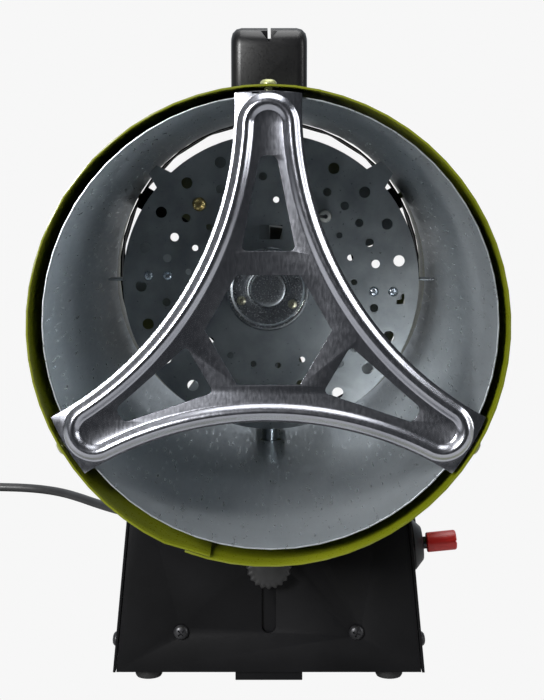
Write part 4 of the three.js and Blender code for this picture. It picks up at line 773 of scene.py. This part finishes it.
# --------------------------------------------------------------------------------- handle
# A grip moulded in black plastic stands on the top of the shell on two posts, with a fine
# spark texture, rounded edges and a narrow groove along its crown.
black_plastic = new_finish(
    "black_plastic", [(0.0040, 0.0040, 0.0045), (0.0075, 0.0075, 0.0080)], 0.02, (0.27, 0.38),
    grain_size=0.0006, bump=0.22, bump_height=0.00004, specular=0.28)
handle = from_node("handle", "moulded_handle", 0.0012, 3)
settle(handle, black_plastic, "heater", "black_plastic", "handle", angle=45)


# ----------------------------------------------------------------------------- base panels
# Four panels of thin steel, powder-coated black, stand round a floor tray: the front and
# back are cut to the tube's curve, and the sides lean in and are screwed to the tray.
for panel in ("base_front", "base_rear", "base_left", "base_right", "base_floor"):
    settle(from_node(panel, f"{panel}_panel", 0.00035), black_powder, "heater", "black_powder", panel)
for i in (1, 2):
    add_screw(f"front_screw_{i}", f"front_fixing_{i}", (0, -1, 0), SCREW_HEAD, black_screw,
              "black_screws", 15 + 30 * i)
SIDE_SLOPE = 0.1013
side_lean = math.atan(SIDE_SLOPE)
for side, sign in (("left", -1), ("right", 1)):
    for i in (1, 2):
        outward = (sign * math.cos(side_lean), 0, math.sin(side_lean))
        add_screw(f"side_screw_{side}_{i}", f"{side}_side_fixing_{i}", outward, SCREW_HEAD, black_screw,
                  "black_screws", 40 * i)

foot_rubber = new_finish(
    "foot_rubber", [(0.010, 0.010, 0.010), (0.020, 0.020, 0.020)], 0.01, (0.60, 0.80),
    grain_size=0.0008, bump=0.3, bump_height=0.00008)
for i in range(1, 5):
    low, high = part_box(f"foot_{i}")
    foot = lathe(f"rubber_foot_{i}", [
        (0, 0), (0.0046, 0), (0.0056, 0.0003), (0.0061, 0.0012), (0.0062, 0.0020), (0.0062, 0.0044),
        (0.0059, 0.0052), (0, 0.0052),
    ], ((low.x + high.x) / 2, (low.y + high.y) / 2, low.z), (0, 0, 1), 40)
    settle(foot, foot_rubber, "heater", "black_rubber", f"foot_{i}")


# ------------------------------------------------------------------------- adjusting leg
# A flat steel leg slides down behind the front panel to tip the heater up, and the scalloped
# thumb knob clamps it through the slot. A plain zinc guide keeps it upright.
settle(from_node("adjusting_leg", "sliding_leg", 0.0003), black_powder, "leg", "black_powder",
       "adjusting_leg")
settle(from_node("leg_guide", "zinc_guide", 0.0002), baffle_zinc, "heater", "galvanised", "leg_guide")

knob_low, knob_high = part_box("leg_knob")
KNOB_LOBES = 20
KNOB_RADIUS = 0.0099
KNOB_DIP = 0.0009
DIP_START = 0.0070
DIP_BAND = 0.0022
knob_x = (knob_low.x + knob_high.x) / 2
knob_z = (knob_low.z + knob_high.z) / 2
KNOB_STEPS = KNOB_LOBES * 12
knob = lathe("scalloped_knob", [
    (0, 0), (0.0050, 0), (0.0058, 0.0003), (0.0066, 0.0003), (0.0088, 0.0004), (0.0096, 0.0009),
    (KNOB_RADIUS, 0.0018), (KNOB_RADIUS, 0.0056), (0.0094, 0.0066), (0.0066, 0.0070), (0.0060, 0.0072),
    (0.0060, 0.0089), (0.0028, 0.0090), (0.0028, knob_high.y - knob_low.y), (0, knob_high.y - knob_low.y),
], (knob_x, knob_low.y, knob_z), (0, 1, 0), KNOB_STEPS)
for vertex in knob.data.vertices:
    x = vertex.co.x - knob_x
    z = vertex.co.z - knob_z
    radius = math.hypot(x, z)
    share = max(0.0, min(1.0, (radius - DIP_START) / DIP_BAND))
    dip = KNOB_DIP * share * (0.5 - 0.5 * math.cos(KNOB_LOBES * math.atan2(z, x)))
    shrink = (radius - dip) / radius if radius > 0 else 1
    vertex.co.x = knob_x + x * shrink
    vertex.co.z = knob_z + z * shrink
knob_plastic = new_finish(
    "knob_plastic", [(0.010, 0.010, 0.0105), (0.018, 0.018, 0.0185)], 0.006, (0.48, 0.62),
    grain_size=0.0005, bump=0.3, bump_height=0.00005)
settle(knob, knob_plastic, "knob", "black_plastic", "leg_knob", angle=40)


# ----------------------------------------------------------------- gas valve and igniter
# The valve's neck comes through the right side panel and a conical nut holds it. Its red
# button is pressed to let gas through; the igniter's button stands behind it.
PANEL_OUT = Vector((math.cos(side_lean), 0, math.sin(side_lean)))
PANEL_UP = Vector((-math.sin(side_lean), 0, math.cos(side_lean)))


def panel_lathe(node, name, profile, steps=48):
    """A turned piece square to the right-hand panel; distances run outwards from the node's inner end."""
    places = [vertex.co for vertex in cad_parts[node].data.vertices]
    heights = [place.dot(PANEL_UP) for place in places]
    low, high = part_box(node)
    start = PANEL_OUT * min(place.dot(PANEL_OUT) for place in places)
    start += PANEL_UP * (min(heights) + max(heights)) / 2
    start.y = (low.y + high.y) / 2
    return lathe(name, profile, start, PANEL_OUT, steps)


red_plastic = new_finish(
    "red_plastic", [(0.52, 0.018, 0.016), (0.62, 0.028, 0.022)], 0.008, (0.28, 0.40),
    grain_size=0.0006, bump=0.12, bump_height=0.00004)
stem_black = new_finish(
    "stem_black", [(0.020, 0.020, 0.022), (0.045, 0.045, 0.050)], 0.004, (0.18, 0.30), metallic=0.7,
    grain_size=0.0004, bump=0.1, bump_height=0.00003)

STEM_LENGTH = 0.0158
NOTCH = (0.0016, 0.0120, 0.0012)
gas_button = panel_lathe("valve_button", "red_button", [
    (0, 0), (0.0028, 0), (0.0028, STEM_LENGTH), (0.0042, 0.0160), (0.00455, 0.0164), (0.00455, 0.0288),
    (0.0043, 0.0293), (0.0037, 0.0296), (0, 0.0296),
])
button_places = [vertex.co for vertex in gas_button.data.vertices]
button_end = max(place.dot(PANEL_OUT) for place in button_places)
end_face = [place for place in button_places if button_end - place.dot(PANEL_OUT) < 0.00001]
notch_place = sum(end_face, Vector()) / len(end_face)
bpy.ops.mesh.primitive_cube_add(size=1, location=notch_place, rotation=(0, -side_lean, 0))
notch = bpy.context.object
notch.scale = NOTCH
bpy.ops.object.transform_apply(location=True, rotation=True, scale=True)
only(gas_button)
slit = gas_button.modifiers.new("slit", "BOOLEAN")
slit.operation = "DIFFERENCE"
slit.object = notch
bpy.ops.object.modifier_apply(modifier=slit.name)
bpy.data.objects.remove(notch)
settle(gas_button, red_plastic, "gas_button", "red_plastic", "valve_button")
gas_button.data.materials.append(stem_black)
button_start = min(vertex.co.dot(PANEL_OUT) for vertex in gas_button.data.vertices)
for face in gas_button.data.polygons:
    if face.center.dot(PANEL_OUT) - button_start < STEM_LENGTH:
        face.material_index = 1

valve_nut = panel_lathe("valve_nut", "conical_nut", [
    (0.0055, 0), (0.0114, 0), (0.0118, 0.0004), (0.0118, 0.0016), (0.0112, 0.0022), (0.0078, 0.0054),
    (0.0072, 0.0057), (0.0055, 0.0057), (0.0055, 0),
], 64)
settle(valve_nut, black_plastic, "heater", "black_plastic", "valve_nut")
settle(from_node("gas_valve", "valve_body", 0.0003), brass, "heater", "brass", "gas_valve")
settle(from_node("piezo_igniter", "igniter_body", 0.0003), black_plastic, "heater", "black_plastic",
       "piezo_igniter")
settle(from_node("piezo_button", "igniter_button", 0.0004), black_plastic, "igniter_button",
       "black_plastic", "piezo_button")


# ---------------------------------------------------------------------- rear panel fittings
# The brass hose inlet, the rocker switch and the moulded cord gland are fixed to the back
# panel; the gland tapers to the lead so that it can't kink.
settle(from_node("gas_inlet", "hose_inlet", 0.0003), brass, "heater", "brass", "gas_inlet")
settle(from_node("switch_frame", "switch_bezel", 0.0004), black_plastic, "heater", "black_plastic",
       "switch_frame")
settle(from_node("switch_rocker", "rocker_key", 0.0004), black_plastic, "rocker", "black_plastic",
       "switch_rocker")
settle(from_node("cord_gland", "tapered_gland", 0.0003), cord_rubber, "heater", "cord_rubber", "cord_gland")
bpy.data.objects.remove(screw_master)


# --------------------------------------------------------------------------- studio
# A grey floor that only reflects, a light from the upper left and front, a broad one above and
# a weak one on the right. The room in front is dim, so bright metal shows dark bands.
bpy.ops.mesh.primitive_plane_add(size=8, location=(0, 3.7, 0))
floor = bpy.context.object
floor.name = "studio_floor"
floor_paint = new_finish("floor_paint", [(0.30, 0.30, 0.30), (0.36, 0.36, 0.36)], 0.4, (0.75, 0.85))
floor.data.materials.append(floor_paint)
floor.visible_camera = False
floor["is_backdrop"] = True


def add_light(name, place, aim, width, height, power):
    data = bpy.data.lights.new(name, "AREA")
    data.shape = "RECTANGLE"
    data.size = width
    data.size_y = height
    data.energy = power
    light = bpy.data.objects.new(name, data)
    light.location = place
    light.rotation_euler = (Vector(aim) - Vector(place)).to_track_quat("-Z", "Y").to_euler()
    bpy.context.collection.objects.link(light)


add_light("key_light", (-0.80, -1.25, 0.72), (0, 0, 0.16), 0.4, 0.7, 46)
add_light("top_light", (0.1, 0.0, 1.5), (0, 0, 0.15), 1.2, 1.0, 20)
add_light("side_light", (1.3, -0.5, 0.5), (0, 0, 0.16), 0.2, 1.0, 5)
ceiling_data = bpy.data.lights.new("ceiling_light", "SUN")
ceiling_data.energy = 0.7
ceiling_data.angle = math.radians(80)
ceiling = bpy.data.objects.new("ceiling_light", ceiling_data)
ceiling.rotation_euler = (math.radians(-12), 0, 0)
bpy.context.collection.objects.link(ceiling)

world = bpy.data.worlds.new("studio")
bpy.context.scene.world = world
world.use_nodes = True
sky = world.node_tree
backdrop = sky.nodes["Background"]
backdrop.inputs["Color"].default_value = (0.93, 0.93, 0.93, 1)
room = sky.nodes.new("ShaderNodeBackground")
direction = sky.nodes.new("ShaderNodeTexCoord")
split = sky.nodes.new("ShaderNodeSeparateXYZ")
depth = sky.nodes.new("ShaderNodeMapRange")
depth.inputs["From Min"].default_value = -0.25
depth.inputs["From Max"].default_value = 1
depth.inputs["To Min"].default_value = 0.035
depth.inputs["To Max"].default_value = 0.70
rays = sky.nodes.new("ShaderNodeLightPath")
choice = sky.nodes.new("ShaderNodeMixShader")
room.inputs["Color"].default_value = (0.86, 0.93, 1.0, 1)
sky.links.new(direction.outputs["Generated"], split.inputs["Vector"])
sky.links.new(split.outputs["Y"], depth.inputs["Value"])
sky.links.new(depth.outputs["Result"], room.inputs["Strength"])
sky.links.new(rays.outputs["Is Camera Ray"], choice.inputs["Fac"])
sky.links.new(room.outputs["Background"], choice.inputs[1])
sky.links.new(backdrop.outputs["Background"], choice.inputs[2])
sky.links.new(choice.outputs["Shader"], sky.nodes["World Output"].inputs["Surface"])
bpy.context.scene.view_settings.view_transform = "Standard"

low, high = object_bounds()
